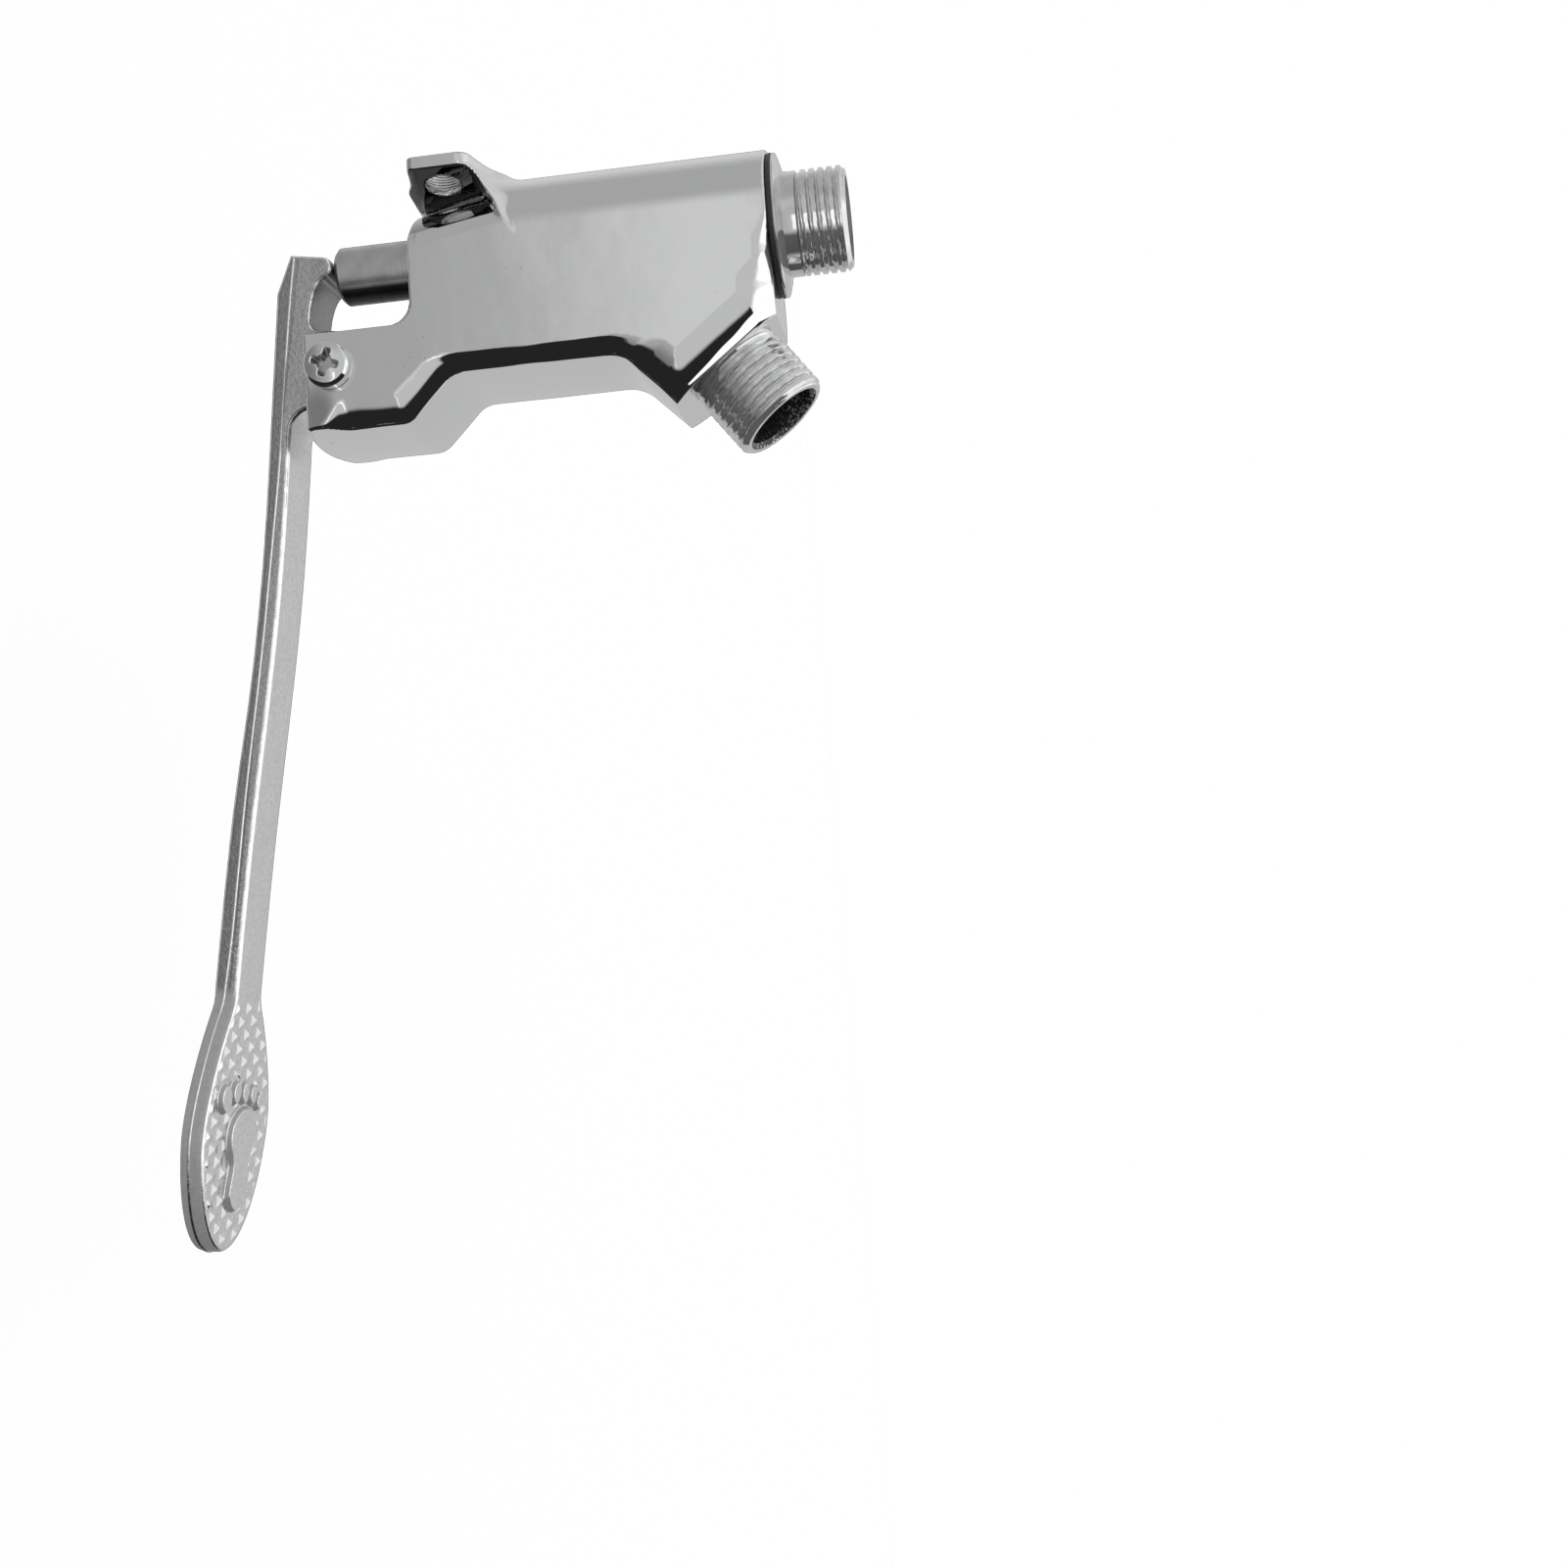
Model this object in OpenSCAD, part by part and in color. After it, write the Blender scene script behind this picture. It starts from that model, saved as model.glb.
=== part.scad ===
// Foot pedal tap valve for a wall. The pedal turns on a screw in the fork of the cast body,
// its short arm lifts the push rod, and the rod lifts a rubber-faced plug off its seat.
// The origin lies on the wall, midway between the two lug holes. +Z is up and +Y is into the wall.

/* [Casting] */
// Gap between the wall and the round back of the casting
wall_gap = 0.5; // [0.2:0.1:3]
// Width of the casting and diameter of its round back
body_w = 30; // [29:0.5:34]
// Height of the top face above the lug holes
body_rise = 65.5; // [64:0.5:72]
// Drop of the bottom face below the lug holes
body_drop = 7.9; // [7.5:0.1:10]
// Distance from the valve axis to the flat front
front_reach = 26.5; // [24:0.5:29]
// Radius of the bends in the front
bend_r = 9; // [2:0.5:12]
// Diameter of the water chamber below the seat
chamber_d = 16; // [14.5:0.5:16.5]

/* [Outlet] */
// Angle between the valve axis and the outlet
outlet_angle = 53; // [50:1:58]
// Height at which the outlet axis meets the valve axis
outlet_level = 34.2; // [30:0.2:35]
// Distance along the outlet axis to the face of its boss
boss_reach = 36; // [34:0.5:40]
// Distance from the outlet axis to the lower edge of the boss
boss_edge = 11.8; // [11:0.2:13]
// Length of the outlet thread
outlet_thread_len = 14.4; // [11:0.2:18]
// Diameter of the drilling from the chamber to the outlet
outlet_drill_d = 12; // [9:0.5:12]
// Depth of the wide mouth of the outlet
outlet_mouth = 18; // [10:1:20]

/* [Pipe threads] */
// Outside diameter of both pipe threads
thread_d = 20.955; // [20.5:0.005:21.5]
// Pitch of both pipe threads
thread_pitch = 1.814; // [1.6:0.002:2]
// Depth of both pipe threads
thread_depth = 1.162; // [0.8:0.002:1.2]
// Diameter of the bore at both ports
port_bore_d = 15.5; // [15:0.1:16]

/* [Wall lugs] */
// Distance between the two lug holes
lug_spacing = 25; // [24:0.5:28]
// Diameter of the lug holes
lug_hole_d = 7; // [5:0.5:7.5]
// Distance from a hole to the outer edge of its lug
lug_edge = 6.8; // [6:0.2:9]
// Height of a lug at its outer edge
lug_h = 11; // [10:0.5:14]
// Radius of the outer corners of a lug
lug_corner = 2.8; // [1:0.1:4]
// Radius of the shoulder between a lug and the round back above it
lug_flare = 7.5; // [4:0.5:9]
// Thickness of a lug at its outer edge
lug_t = 2.4; // [2:0.1:4]
// Slope of the inside of a lug
lug_slope = 10; // [0:1:12]
// Radius of the scoop in the casting beside each lug hole
scoop_r = 7.5; // [6:0.5:8]
// Distance of the scoop beyond the lug hole
scoop_out = 1.5; // [0.5:0.1:3]
// Distance of the middle of the scoop from the inside of the lug
scoop_in = 1.5; // [0.5:0.1:3]
// Height of the round end of the scoop above the lug hole
scoop_up = 1.5; // [0:0.1:3]

/* [Fork] */
// Drop of the pivot below the bottom face
pivot_drop = 17.2; // [16:0.2:20]
// Distance from the valve axis to the pivot
pivot_reach = 23.9; // [23:0.1:26]
// Distance from the pivot to the wall side of an ear
ear_back = 7.2; // [6:0.1:8]
// Distance from the pivot to the front of an ear
ear_front = 12; // [11:0.1:15]
// Distance from the pivot to the lower end of an ear
ear_end = 5.4; // [5:0.1:9]
// Height of the straight front of the ears above the pivot
ear_rise = 15; // [12:0.5:16]
// Radius between the ears and the bottom face
ear_fillet = 4.5; // [2:0.5:6]
// Radius of the lower corners of the ears
ear_corner = 1.2; // [0.4:0.1:3]
// Gap on each side of the lever in the fork
fork_gap = 0.3; // [0.2:0.05:0.6]
// Gap round the boss of the lever in the fork
boss_gap = 1; // [0.6:0.1:1.5]

/* [Pivot screw] */
// Diameter of the pivot screw
pivot_d = 5; // [4:0.5:5.5]
// Diameter of the screw head
screw_head_d = 9.5; // [8:0.1:10]
// Height of the screw head
screw_head_h = 3.4; // [2.5:0.1:4]
// Length of each slot of the cross in the screw head
cross_len = 5.2; // [3:0.1:6]
// Width of each slot of the cross
cross_w = 1.2; // [0.8:0.1:1.6]
// Depth of the cross
cross_depth = 2; // [1:0.1:2.4]
// Length of the screw past its nut
screw_past = 1; // [0.4:0.1:3]
// Diameter of the pivot washer
pivot_washer_d = 9.8; // [9:0.1:10]
// Thickness of the pivot washer
pivot_washer_t = 1; // [0.6:0.1:1.6]
// Width across the flats of the pivot nut
pivot_nut_af = 8; // [7.5:0.5:9]
// Height of the pivot nut
pivot_nut_h = 5; // [3:0.5:7]
// Wall of the bush in the lever
pivot_bush_wall = 1; // [0.6:0.1:1.6]

/* [Pedal lever] */
// Width of the lever
lever_w = 13; // [11:0.5:14]
// Fall of the pedal arm at rest
arm_tilt = 8.6; // [6:0.2:11]
// Drop of the foot face below the pivot, square to the arm
arm_drop = 10.8; // [10:0.2:12]
// Thickness of the arm
arm_t = 4.4; // [3.5:0.1:6]
// Rise of the middle of the arm above a straight line
arm_bow = 0.8; // [0:0.1:3]
// Length of the arm from the pivot to the foot plate
arm_len = 126; // [100:1:150]
// Radius of the boss round the pivot
boss_r = 8.2; // [7:0.1:8.6]
// Distance of the middle of the boss behind the pivot
boss_back = 2; // [0:0.1:2.5]
// Radius between the boss and the arm
boss_fillet = 5; // [3:0.5:7]
// Depth of the web between the boss and the nose
web_t = 7.7; // [6:0.1:9]
// Distance from the top of the web to the pivot
web_drop = 8.8; // [8:0.1:9.5]
// Radius between the web and the boss
web_corner = 2; // [1:0.1:3]
// Length of the bevel on the heel of the lever
heel_bevel = 8.2; // [4:0.2:12]
// Radius of the nose that lifts the rod
nose_r = 2.2; // [1.6:0.1:2.4]
// Distance of the nose beyond the valve axis
nose_past = 0.5; // [0:0.1:1.5]
// Gap between the nose and the rod at rest
nose_gap = 0.3; // [0.25:0.05:0.5]

/* [Foot plate] */
// Length of the foot plate
plate_len = 56; // [44:1:70]
// Width of the foot plate
plate_w = 32.5; // [26:0.5:44]
// Thickness of the foot plate
plate_t = 4.8; // [3.5:0.1:7]
// Overlap of the foot plate and the arm
plate_lap = 1.6; // [1:0.1:3]

/* [Push rod] */
// Diameter of the push rod
rod_d = 11.8; // [11:0.1:12]
// Length of rod below the bottom face
rod_out = 18.6; // [17:0.1:20]
// Width of the chamfer at the rod end
rod_chamfer = 0.8; // [0.3:0.1:1.5]
// Height of the thick part of the rod above its bush
rod_over = 5; // [2:0.5:7]
// Diameter of the thin stem of the rod
stem_d = 6; // [5.5:0.1:7]
// Diameter of the threaded end of the stem
stem_thread_d = 5; // [4:0.1:5]
// Length of the thread past the spindle nut
stem_past = 1; // [0.4:0.1:2]

/* [Rod guide] */
// Outside diameter of the guide bush
bush_d = 18; // [17.5:0.1:18.5]
// Length of the guide bush
bush_len = 17; // [16:0.5:20]
// Depth of the circlip in the bottom face
clip_depth = 1.3; // [0.8:0.1:2]
// Thickness of the circlips
clip_t = 1.1; // [0.8:0.1:1.3]
// Radial width of the circlips
clip_w = 2; // [1.6:0.1:2.4]
// Depth of the circlip grooves
clip_groove = 0.7; // [0.4:0.1:0.8]
// Height of the wiper ring
wiper_h = 2.2; // [1.6:0.1:3]
// Radial width of the wiper ring
wiper_w = 1.5; // [1:0.1:1.8]
// Thickness of the O-rings
oring_t = 1.7; // [1.4:0.1:1.8]
// Height of the lower rod O-ring above the wiper ring
rod_oring_rise = 1.8; // [1.5:0.1:2.2]
// Distance between the two rod O-rings
rod_oring_pitch = 5; // [3:0.5:6]
// Height of the outer O-ring above the foot of the bush
bush_oring_rise = 12; // [8:0.5:14]

/* [Inlet nipple] */
// Diameter of the flange of the inlet nipple
flange_d = 28.6; // [26:0.2:29]
// Thickness of the flange
flange_t = 2.2; // [1.5:0.1:4]
// Thickness of the rubber gasket below the flange
gasket_t = 1; // [0.6:0.1:2]
// Length of the plain neck above the flange
neck_len = 1.5; // [1:0.1:4]
// Length of the inlet thread
inlet_thread_len = 10.8; // [10.8:0.2:16]
// Diameter of the end that screws into the casting
insert_d = 21.8; // [20.5:0.1:22]
// Length of the end that screws into the casting
insert_len = 9; // [7:0.5:11]

/* [Seat and plug] */
// Outside diameter of the seat ring
seat_ring_d = 19; // [18:0.1:19.4]
// Height of the seat ring
seat_ring_h = 5; // [4:0.5:6]
// Diameter of the hole in the seat
seat_bore_d = 10; // [9.4:0.1:10.4]
// Height of the seat lip
seat_lip_h = 0.8; // [0.4:0.1:1.2]
// Width of the seat lip
seat_lip_w = 1.2; // [0.6:0.1:1.4]
// Diameter of the rubber seat washer
seat_washer_d = 13.2; // [12.8:0.1:13.4]
// Thickness of the rubber seat washer
seat_washer_t = 2.5; // [1.8:0.1:3.2]
// Wall of the holder round the seat washer
holder_wall = 0.45; // [0.3:0.05:0.5]
// Thickness of the top of the holder
holder_t = 2.6; // [1.6:0.1:3.4]
// Depth of the skirt of the holder
holder_skirt = 1.7; // [1:0.1:2]
// Diameter of the plate below the seat washer
washer_plate_d = 8.8; // [7.6:0.1:9]
// Thickness of the plate below the seat washer
washer_plate_t = 1.2; // [0.8:0.1:1.8]
// Width across the flats of the spindle nut
spindle_nut_af = 8; // [7:0.5:8.5]
// Height of the spindle nut
spindle_nut_h = 4; // [2.5:0.1:4.4]

/* [Spring and strainer] */
// Mean diameter of the return spring
spring_d = 11.6; // [11.2:0.1:12]
// Thickness of the spring wire
wire_d = 1.2; // [0.9:0.1:1.3]
// Number of coils
spring_coils = 4; // [3:1:5]
// Length of the spring with the valve shut
spring_len = 13; // [12:0.5:14.5]
// Thickness of the spring retainer
retainer_t = 1.5; // [1:0.1:2]
// Diameter of the holes in the spring retainer
retainer_hole_d = 2.9; // [1.6:0.1:3]
// Distance from those holes to the inside of the spring
retainer_land = 0.5; // [0.3:0.1:1]
// Thickness of the strainer
strainer_t = 0.8; // [0.5:0.1:1.2]
// Diameter of the strainer holes
strainer_hole_d = 1.6; // [0.8:0.1:1.8]

/* [Fits] */
// Radial clearance of sliding and turning parts
running_gap = 0.05; // [0.02:0.01:0.08]
// Radial clearance of parts that are fixed in each other
fixed_gap = 0.03; // [0.02:0.01:0.05]
// Gap between the rubber and its seat
seat_gap = 0.05; // [0.03:0.01:0.1]

/* [Hidden] */
$fn = 96;
cut = 1;
chrome = [0.78, 0.79, 0.80];
machined = [0.62, 0.62, 0.61];
brass = [0.78, 0.62, 0.32];
rubber = [0.08, 0.08, 0.08];

barrel_r = body_w / 2;
axis_depth = barrel_r + wall_gap;
rod_r = rod_d / 2;
bush_r = bush_d / 2;
thread_r = thread_d / 2;
root_r = thread_r - thread_depth;
port_r = port_bore_d / 2;
outlet_len = boss_reach + outlet_thread_len;

// Levels from the bottom face up to the top of the guide bush
bottom_z = -body_drop;
clip_z = bottom_z + clip_depth;
bush_z = clip_z + clip_t + fixed_gap;
bush_top_z = bush_z + bush_len;
rod_end_z = bottom_z - rod_out;
rod_oring_z = bush_z + wiper_h + rod_oring_rise;
rod_shoulder_z = bush_top_z + rod_over;

// Levels from the seat up to the mouth of the inlet
seat_top_z = body_rise - insert_len;
seat_z = seat_top_z - seat_ring_h;
washer_z = seat_top_z + seat_lip_h + seat_gap;
plate_z = washer_z - washer_plate_t;
holder_z = washer_z + seat_washer_t;
spring_z = holder_z + holder_t;
retainer_z = spring_z + spring_len;
strainer_z = retainer_z + retainer_t;
strainer_clip_z = strainer_z + strainer_t;
flange_z = body_rise + gasket_t;
neck_z = flange_z + flange_t;
thread_z = neck_z + neck_len;
inlet_z = thread_z + inlet_thread_len;

// Place of the pivot, and of the nose in the frame of the arm
pivot_y = -axis_depth - pivot_reach;
pivot_z = bottom_z - pivot_drop;
fork_w = lever_w + 2 * fork_gap;
nose_u = -pivot_reach - nose_past;
nose_w = rod_end_z - pivot_z - nose_gap - nose_r;
nose = [nose_u * cos(arm_tilt) - nose_w * sin(arm_tilt), nose_u * sin(arm_tilt) + nose_w * cos(arm_tilt)];

// Points on an arc, from one angle to another
function arc(centre, r, from, to, steps = 12) =
    [for (i = [0 : steps]) let (a = from + (to - from) * i / steps) centre + r * [cos(a), sin(a)]];

// Corner between two straight lines, rounded to a radius
function bend(before, at, after, r, steps = 8) =
    r == 0 ? [at] :
    let (u = (before - at) / norm(before - at), v = (after - at) / norm(after - at),
         half = acos(u * v) / 2, centre = at + (u + v) / norm(u + v) * r / sin(half),
         first = at + u * r / tan(half) - centre, last = at + v * r / tan(half) - centre,
         start = atan2(first[1], first[0]), turn = atan2(last[1], last[0]) - start)
    arc(centre, r, start, start + turn - 360 * round(turn / 360), steps);

// Outline through a list of corners, each a point and its radius
function rounded(corners) =
    let (n = len(corners))
    [for (i = [0 : n - 1])
        each bend(corners[(i + n - 1) % n][0], corners[i][0], corners[(i + 1) % n][0], corners[i][1])];

// Point at a distance along the outlet axis and a distance off it, in the side view
function outlet_point(along, off) =
    [-along * sin(outlet_angle) - off * cos(outlet_angle),
     outlet_level + along * cos(outlet_angle) - off * sin(outlet_angle)];

module on_axis(z = 0) {
    translate([0, -axis_depth, z]) children();
}

module on_outlet(along = 0) {
    on_axis(outlet_level) rotate([outlet_angle, 0, 0]) translate([0, 0, along]) children();
}

module on_pivot(x = 0) {
    translate([x, pivot_y, pivot_z]) rotate([0, 90, 0]) children();
}

// Side view, x towards the wall and y up, carried across the width
module across(w) {
    rotate([90, 0, 90]) translate([0, 0, -w / 2]) linear_extrude(w) children();
}

module ring(outer_r, inner_r, h) {
    difference() {
        cylinder(r = outer_r, h = h);
        translate([0, 0, -cut]) cylinder(r = inner_r, h = h + 2 * cut);
    }
}

module oring(inner_r) {
    rotate_extrude() translate([inner_r + fixed_gap / 2 + oring_t / 2, 0]) circle(d = oring_t, $fn = 32);
}

module circlip(groove_r) {
    difference() {
        ring(groove_r - fixed_gap, groove_r - fixed_gap - clip_w, clip_t - fixed_gap);
        translate([0, -groove_r, clip_t / 2]) cube([clip_w, groove_r, clip_t + cut], center = true);
    }
}

module hex_nut(af, h, bore_d) {
    difference() {
        cylinder(d = af / cos(30), h = h, $fn = 6);
        translate([0, 0, -cut]) cylinder(d = bore_d, h = h + 2 * cut);
    }
}

// Crests and roots of a pipe thread, as radius and height
function thread_line(from_z, len) =
    let (turns = floor(len / thread_pitch))
    [for (i = [0 : turns - 1], step = [[root_r, 1], [thread_r, 3], [thread_r, 5], [root_r, 7]])
        [step[0], from_z + (i + step[1] / 8) * thread_pitch]];

// Outline of the casting from the side: ears at the bottom, outlet boss at the top
module casting_side() {
    ear_y = ear_back - pivot_reach;
    front_y = -pivot_reach - ear_front;
    end_z = pivot_z - ear_end;
    knee_z = pivot_z + ear_rise;
    top_off = (outlet_level + boss_reach * cos(outlet_angle) - body_rise) / sin(outlet_angle);
    polygon(rounded([
        [[0, body_rise], 0], [[0, bottom_z], 0], [[ear_y, bottom_z], ear_fillet],
        [[ear_y, end_z], ear_corner], [[front_y, end_z], ear_corner], [[front_y, knee_z], bend_r],
        [[-front_reach, knee_z - front_y - front_reach], bend_r], [[-front_reach, outlet_level], bend_r],
        [outlet_point(boss_reach, boss_edge), 0], [outlet_point(boss_reach, top_off), 0]]));
}

// Lug seen along the wall, then cut to its tapering thickness
module lug_plate() {
    tip_x = lug_spacing / 2 + lug_edge;
    flare_x = lug_spacing / 2 + lug_corner - lug_flare;
    top_z = lug_h / 2 + lug_flare;
    rise = tip_x * tan(lug_slope);
    intersection() {
        rotate([90, 0, 0]) linear_extrude(2 * axis_depth, center = true) polygon(rounded([
            [[0, -lug_h / 2], 0], [[tip_x, -lug_h / 2], lug_corner], [[tip_x, lug_h / 2], lug_corner],
            [[flare_x, lug_h / 2], lug_flare], [[flare_x, top_z + cut], 0], [[0, top_z + cut], 0]]));
        translate([0, 0, -lug_h]) linear_extrude(lug_h + top_z)
            polygon([[0, 0], [tip_x, 0], [tip_x, -lug_t], [0, -lug_t - rise]]);
    }
}

// Scoop beside a lug hole, open at the bottom face and round at the top
module scoop() {
    translate([lug_spacing / 2 + scoop_out, -lug_t - scoop_in, scoop_up]) {
        sphere(r = scoop_r);
        translate([0, 0, bottom_z - cut - scoop_up]) cylinder(r = scoop_r, h = scoop_up + cut - bottom_z);
    }
}

module lugs() {
    for (side = [0, 1]) mirror([side, 0, 0]) lug_plate();
}

// Stepped bore of the casting, from the circlip below to the nipple above
module body_bore() {
    pocket_r = bush_r + fixed_gap;
    groove_r = pocket_r + clip_groove;
    rotate_extrude() polygon([
        [0, bottom_z - cut], [pocket_r, bottom_z - cut], [pocket_r, clip_z], [groove_r, clip_z],
        [groove_r, clip_z + clip_t], [pocket_r, clip_z + clip_t], [pocket_r, bush_top_z],
        [chamber_d / 2, bush_top_z], [chamber_d / 2, seat_z], [seat_ring_d / 2 + fixed_gap, seat_z],
        [seat_ring_d / 2 + fixed_gap, seat_top_z], [insert_d / 2 + fixed_gap, seat_top_z],
        [insert_d / 2 + fixed_gap, body_rise + cut], [0, body_rise + cut]]);
}

// Cast body with the fork, the wall lugs and the outlet in one piece
module valve_body() {
    slot_front = boss_r - boss_back + boss_gap;
    slot_len = slot_front + ear_back + cut;
    slot_h = boss_r + boss_gap + ear_end + cut;
    color(chrome) difference() {
        union() {
            difference() {
                union() {
                    on_axis(bottom_z) cylinder(r = barrel_r, h = body_rise - bottom_z);
                    on_axis() across(body_w) casting_side();
                }
                for (side = [0, 1]) mirror([side, 0, 0]) scoop();
            }
            lugs();
            on_outlet() rotate_extrude() polygon(concat([[0, 0], [root_r, 0]],
                thread_line(boss_reach, outlet_thread_len), [[root_r, outlet_len], [0, outlet_len]]));
        }
        on_axis() body_bore();
        on_outlet() cylinder(d = outlet_drill_d, h = outlet_len);
        on_outlet(outlet_len - outlet_mouth) cylinder(r = port_r, h = outlet_mouth + cut);
        for (side = [-1, 1]) translate([side * lug_spacing / 2, cut, 0]) rotate([90, 0, 0])
            cylinder(d = lug_hole_d, h = axis_depth / 2);
        translate([-fork_w / 2, pivot_y - slot_front, pivot_z - ear_end - cut])
            cube([fork_w, slot_len, slot_h]);
        on_pivot(-body_w) cylinder(r = pivot_d / 2 + running_gap, h = 2 * body_w);
    }
}

// Screwed inlet with its flange, one turned piece
module inlet_nipple() {
    clip_top = strainer_clip_z + clip_t;
    color(chrome) on_axis() rotate_extrude() polygon(concat(
        [[port_r, seat_top_z], [insert_d / 2, seat_top_z], [insert_d / 2, flange_z],
         [flange_d / 2, flange_z], [flange_d / 2, neck_z], [root_r, neck_z]],
        thread_line(thread_z, inlet_thread_len),
        [[root_r, inlet_z], [port_r, inlet_z], [port_r, clip_top], [port_r + clip_groove, clip_top],
         [port_r + clip_groove, strainer_clip_z], [port_r, strainer_clip_z]]));
}

// Flat rubber washer between the flange and the casting
module inlet_gasket() {
    color(rubber) on_axis(body_rise) ring(flange_d / 2 - fixed_gap, insert_d / 2 + fixed_gap, gasket_t);
}

// Turned seat with a raised lip, held down by the nipple
module seat_ring() {
    groove_r = seat_ring_d / 2 - oring_t;
    groove_z = seat_z + seat_ring_h / 2;
    lip_r = seat_bore_d / 2 + seat_lip_w;
    color(brass) on_axis() difference() {
        union() {
            translate([0, 0, seat_z]) cylinder(d = seat_ring_d, h = seat_ring_h);
            translate([0, 0, seat_z]) cylinder(r = lip_r, h = seat_ring_h + seat_lip_h);
        }
        translate([0, 0, seat_z - cut]) cylinder(d = seat_bore_d, h = seat_ring_h + seat_lip_h + 2 * cut);
        translate([0, 0, groove_z - oring_t / 2 - fixed_gap])
            ring(seat_ring_d, groove_r, oring_t + 2 * fixed_gap);
    }
}

module seat_oring() {
    color(rubber) on_axis(seat_z + seat_ring_h / 2) oring(seat_ring_d / 2 - oring_t);
}

// Coil spring as one unbroken six-sided wire with eight sections a turn
module return_spring() {
    sides = 6;
    sections = 8;
    rings = sections * spring_coils;
    wire_r = wire_d / 2;
    climb = spring_len - wire_d - 2 * seat_gap;
    points = [for (i = [0 : rings], j = [0 : sides - 1])
        let (a = 360 * i / sections, b = 360 * j / sides, r = spring_d / 2 + wire_r * cos(b))
        [r * cos(a), r * sin(a), wire_r + seat_gap + climb * i / rings + wire_r * sin(b)]];
    skin = [for (i = [0 : rings - 1], j = [0 : sides - 1])
        let (a = i * sides + j, b = i * sides + (j + 1) % sides)
        each [[a, a + sides, b], [b, a + sides, b + sides]]];
    ends = [for (j = [1 : sides - 2])
        each [[0, j, j + 1], [rings * sides, rings * sides + j + 1, rings * sides + j]]];
    color(machined) on_axis(spring_z) polyhedron(points, concat(skin, ends));
}

// Drilled disc that the spring pushes against
module spring_retainer() {
    holes = 5;
    hole_out = (spring_d - wire_d - retainer_hole_d) / 2 - retainer_land;
    color(brass) on_axis(retainer_z) difference() {
        cylinder(r = port_r - fixed_gap, h = retainer_t);
        for (i = [0 : holes - 1]) rotate(360 * i / holes) translate([hole_out, 0, -cut])
            cylinder(d = retainer_hole_d, h = retainer_t + 2 * cut);
    }
}

// Sieve with one hole in the middle and two rings of holes round it
module inlet_strainer() {
    pitch = port_r / 3;
    color(machined) on_axis(strainer_z) difference() {
        cylinder(r = port_r - fixed_gap, h = strainer_t);
        for (row = [0 : 2], i = [0 : max(6 * row - 1, 0)])
            rotate(60 * i / max(row, 1)) translate([row * pitch, 0, -cut])
                cylinder(d = strainer_hole_d, h = strainer_t + 2 * cut, $fn = 24);
    }
}

module strainer_circlip() {
    color(machined) on_axis(strainer_clip_z) circlip(port_r + clip_groove);
}

// Brass guide of the rod, with a pocket for the wiper and a groove for its own seal
module guide_bush() {
    bore_r = rod_r + running_gap;
    groove_z = bush_z + bush_oring_rise - oring_t / 2 - fixed_gap;
    color(brass) on_axis() difference() {
        translate([0, 0, bush_z]) cylinder(r = bush_r, h = bush_len);
        translate([0, 0, bush_z - cut]) cylinder(r = bore_r, h = bush_len + 2 * cut);
        translate([0, 0, bush_z - cut]) cylinder(r = bore_r + wiper_w, h = wiper_h + cut);
        translate([0, 0, groove_z]) ring(bush_d, bush_r - oring_t, oring_t + 2 * fixed_gap);
    }
}

module bush_oring() {
    color(rubber) on_axis(bush_z + bush_oring_rise) oring(bush_r - oring_t);
}

module wiper_ring() {
    bore_r = rod_r + running_gap;
    color(rubber) on_axis(bush_z) ring(bore_r + wiper_w - fixed_gap, bore_r, wiper_h - fixed_gap);
}

module bush_circlip() {
    color(machined) on_axis(clip_z) circlip(bush_r + fixed_gap + clip_groove);
}

// Push rod: thick end with two seal grooves, thin stem and threaded tip
module push_rod() {
    groove_h = oring_t / 2 + fixed_gap;
    groove_r = rod_r - oring_t;
    upper_z = rod_oring_z + rod_oring_pitch;
    tip_z = spring_z + spindle_nut_h + stem_past;
    color(machined) on_axis() rotate_extrude() polygon([
        [0, rod_end_z], [rod_r - rod_chamfer, rod_end_z], [rod_r, rod_end_z + rod_chamfer],
        [rod_r, rod_oring_z - groove_h], [groove_r, rod_oring_z - groove_h],
        [groove_r, rod_oring_z + groove_h], [rod_r, rod_oring_z + groove_h],
        [rod_r, upper_z - groove_h], [groove_r, upper_z - groove_h],
        [groove_r, upper_z + groove_h], [rod_r, upper_z + groove_h],
        [rod_r, rod_shoulder_z], [stem_d / 2, rod_shoulder_z + rod_r - stem_d / 2],
        [stem_d / 2, plate_z], [stem_thread_d / 2, plate_z], [stem_thread_d / 2, tip_z], [0, tip_z]]);
}

module rod_oring_lower() {
    color(rubber) on_axis(rod_oring_z) oring(rod_r - oring_t);
}

module rod_oring_upper() {
    color(rubber) on_axis(rod_oring_z + rod_oring_pitch) oring(rod_r - oring_t);
}

// Small brass disc that carries the rubber on the shoulder of the stem
module washer_plate() {
    color(brass) on_axis(plate_z)
        ring(washer_plate_d / 2, stem_thread_d / 2 + fixed_gap, washer_plate_t);
}

module seat_washer() {
    color(rubber) on_axis(washer_z)
        ring(seat_washer_d / 2, stem_thread_d / 2 + fixed_gap, seat_washer_t);
}

// Cup that holds the rubber from above and carries the spring
module disc_holder() {
    inner_r = seat_washer_d / 2 + fixed_gap;
    color(brass) on_axis(holder_z) difference() {
        translate([0, 0, -holder_skirt])
            cylinder(r = inner_r + holder_wall, h = holder_skirt + holder_t);
        translate([0, 0, -holder_skirt - cut]) cylinder(r = inner_r, h = holder_skirt + cut);
        cylinder(d = stem_thread_d + 2 * fixed_gap, h = holder_t + cut);
    }
}

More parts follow.
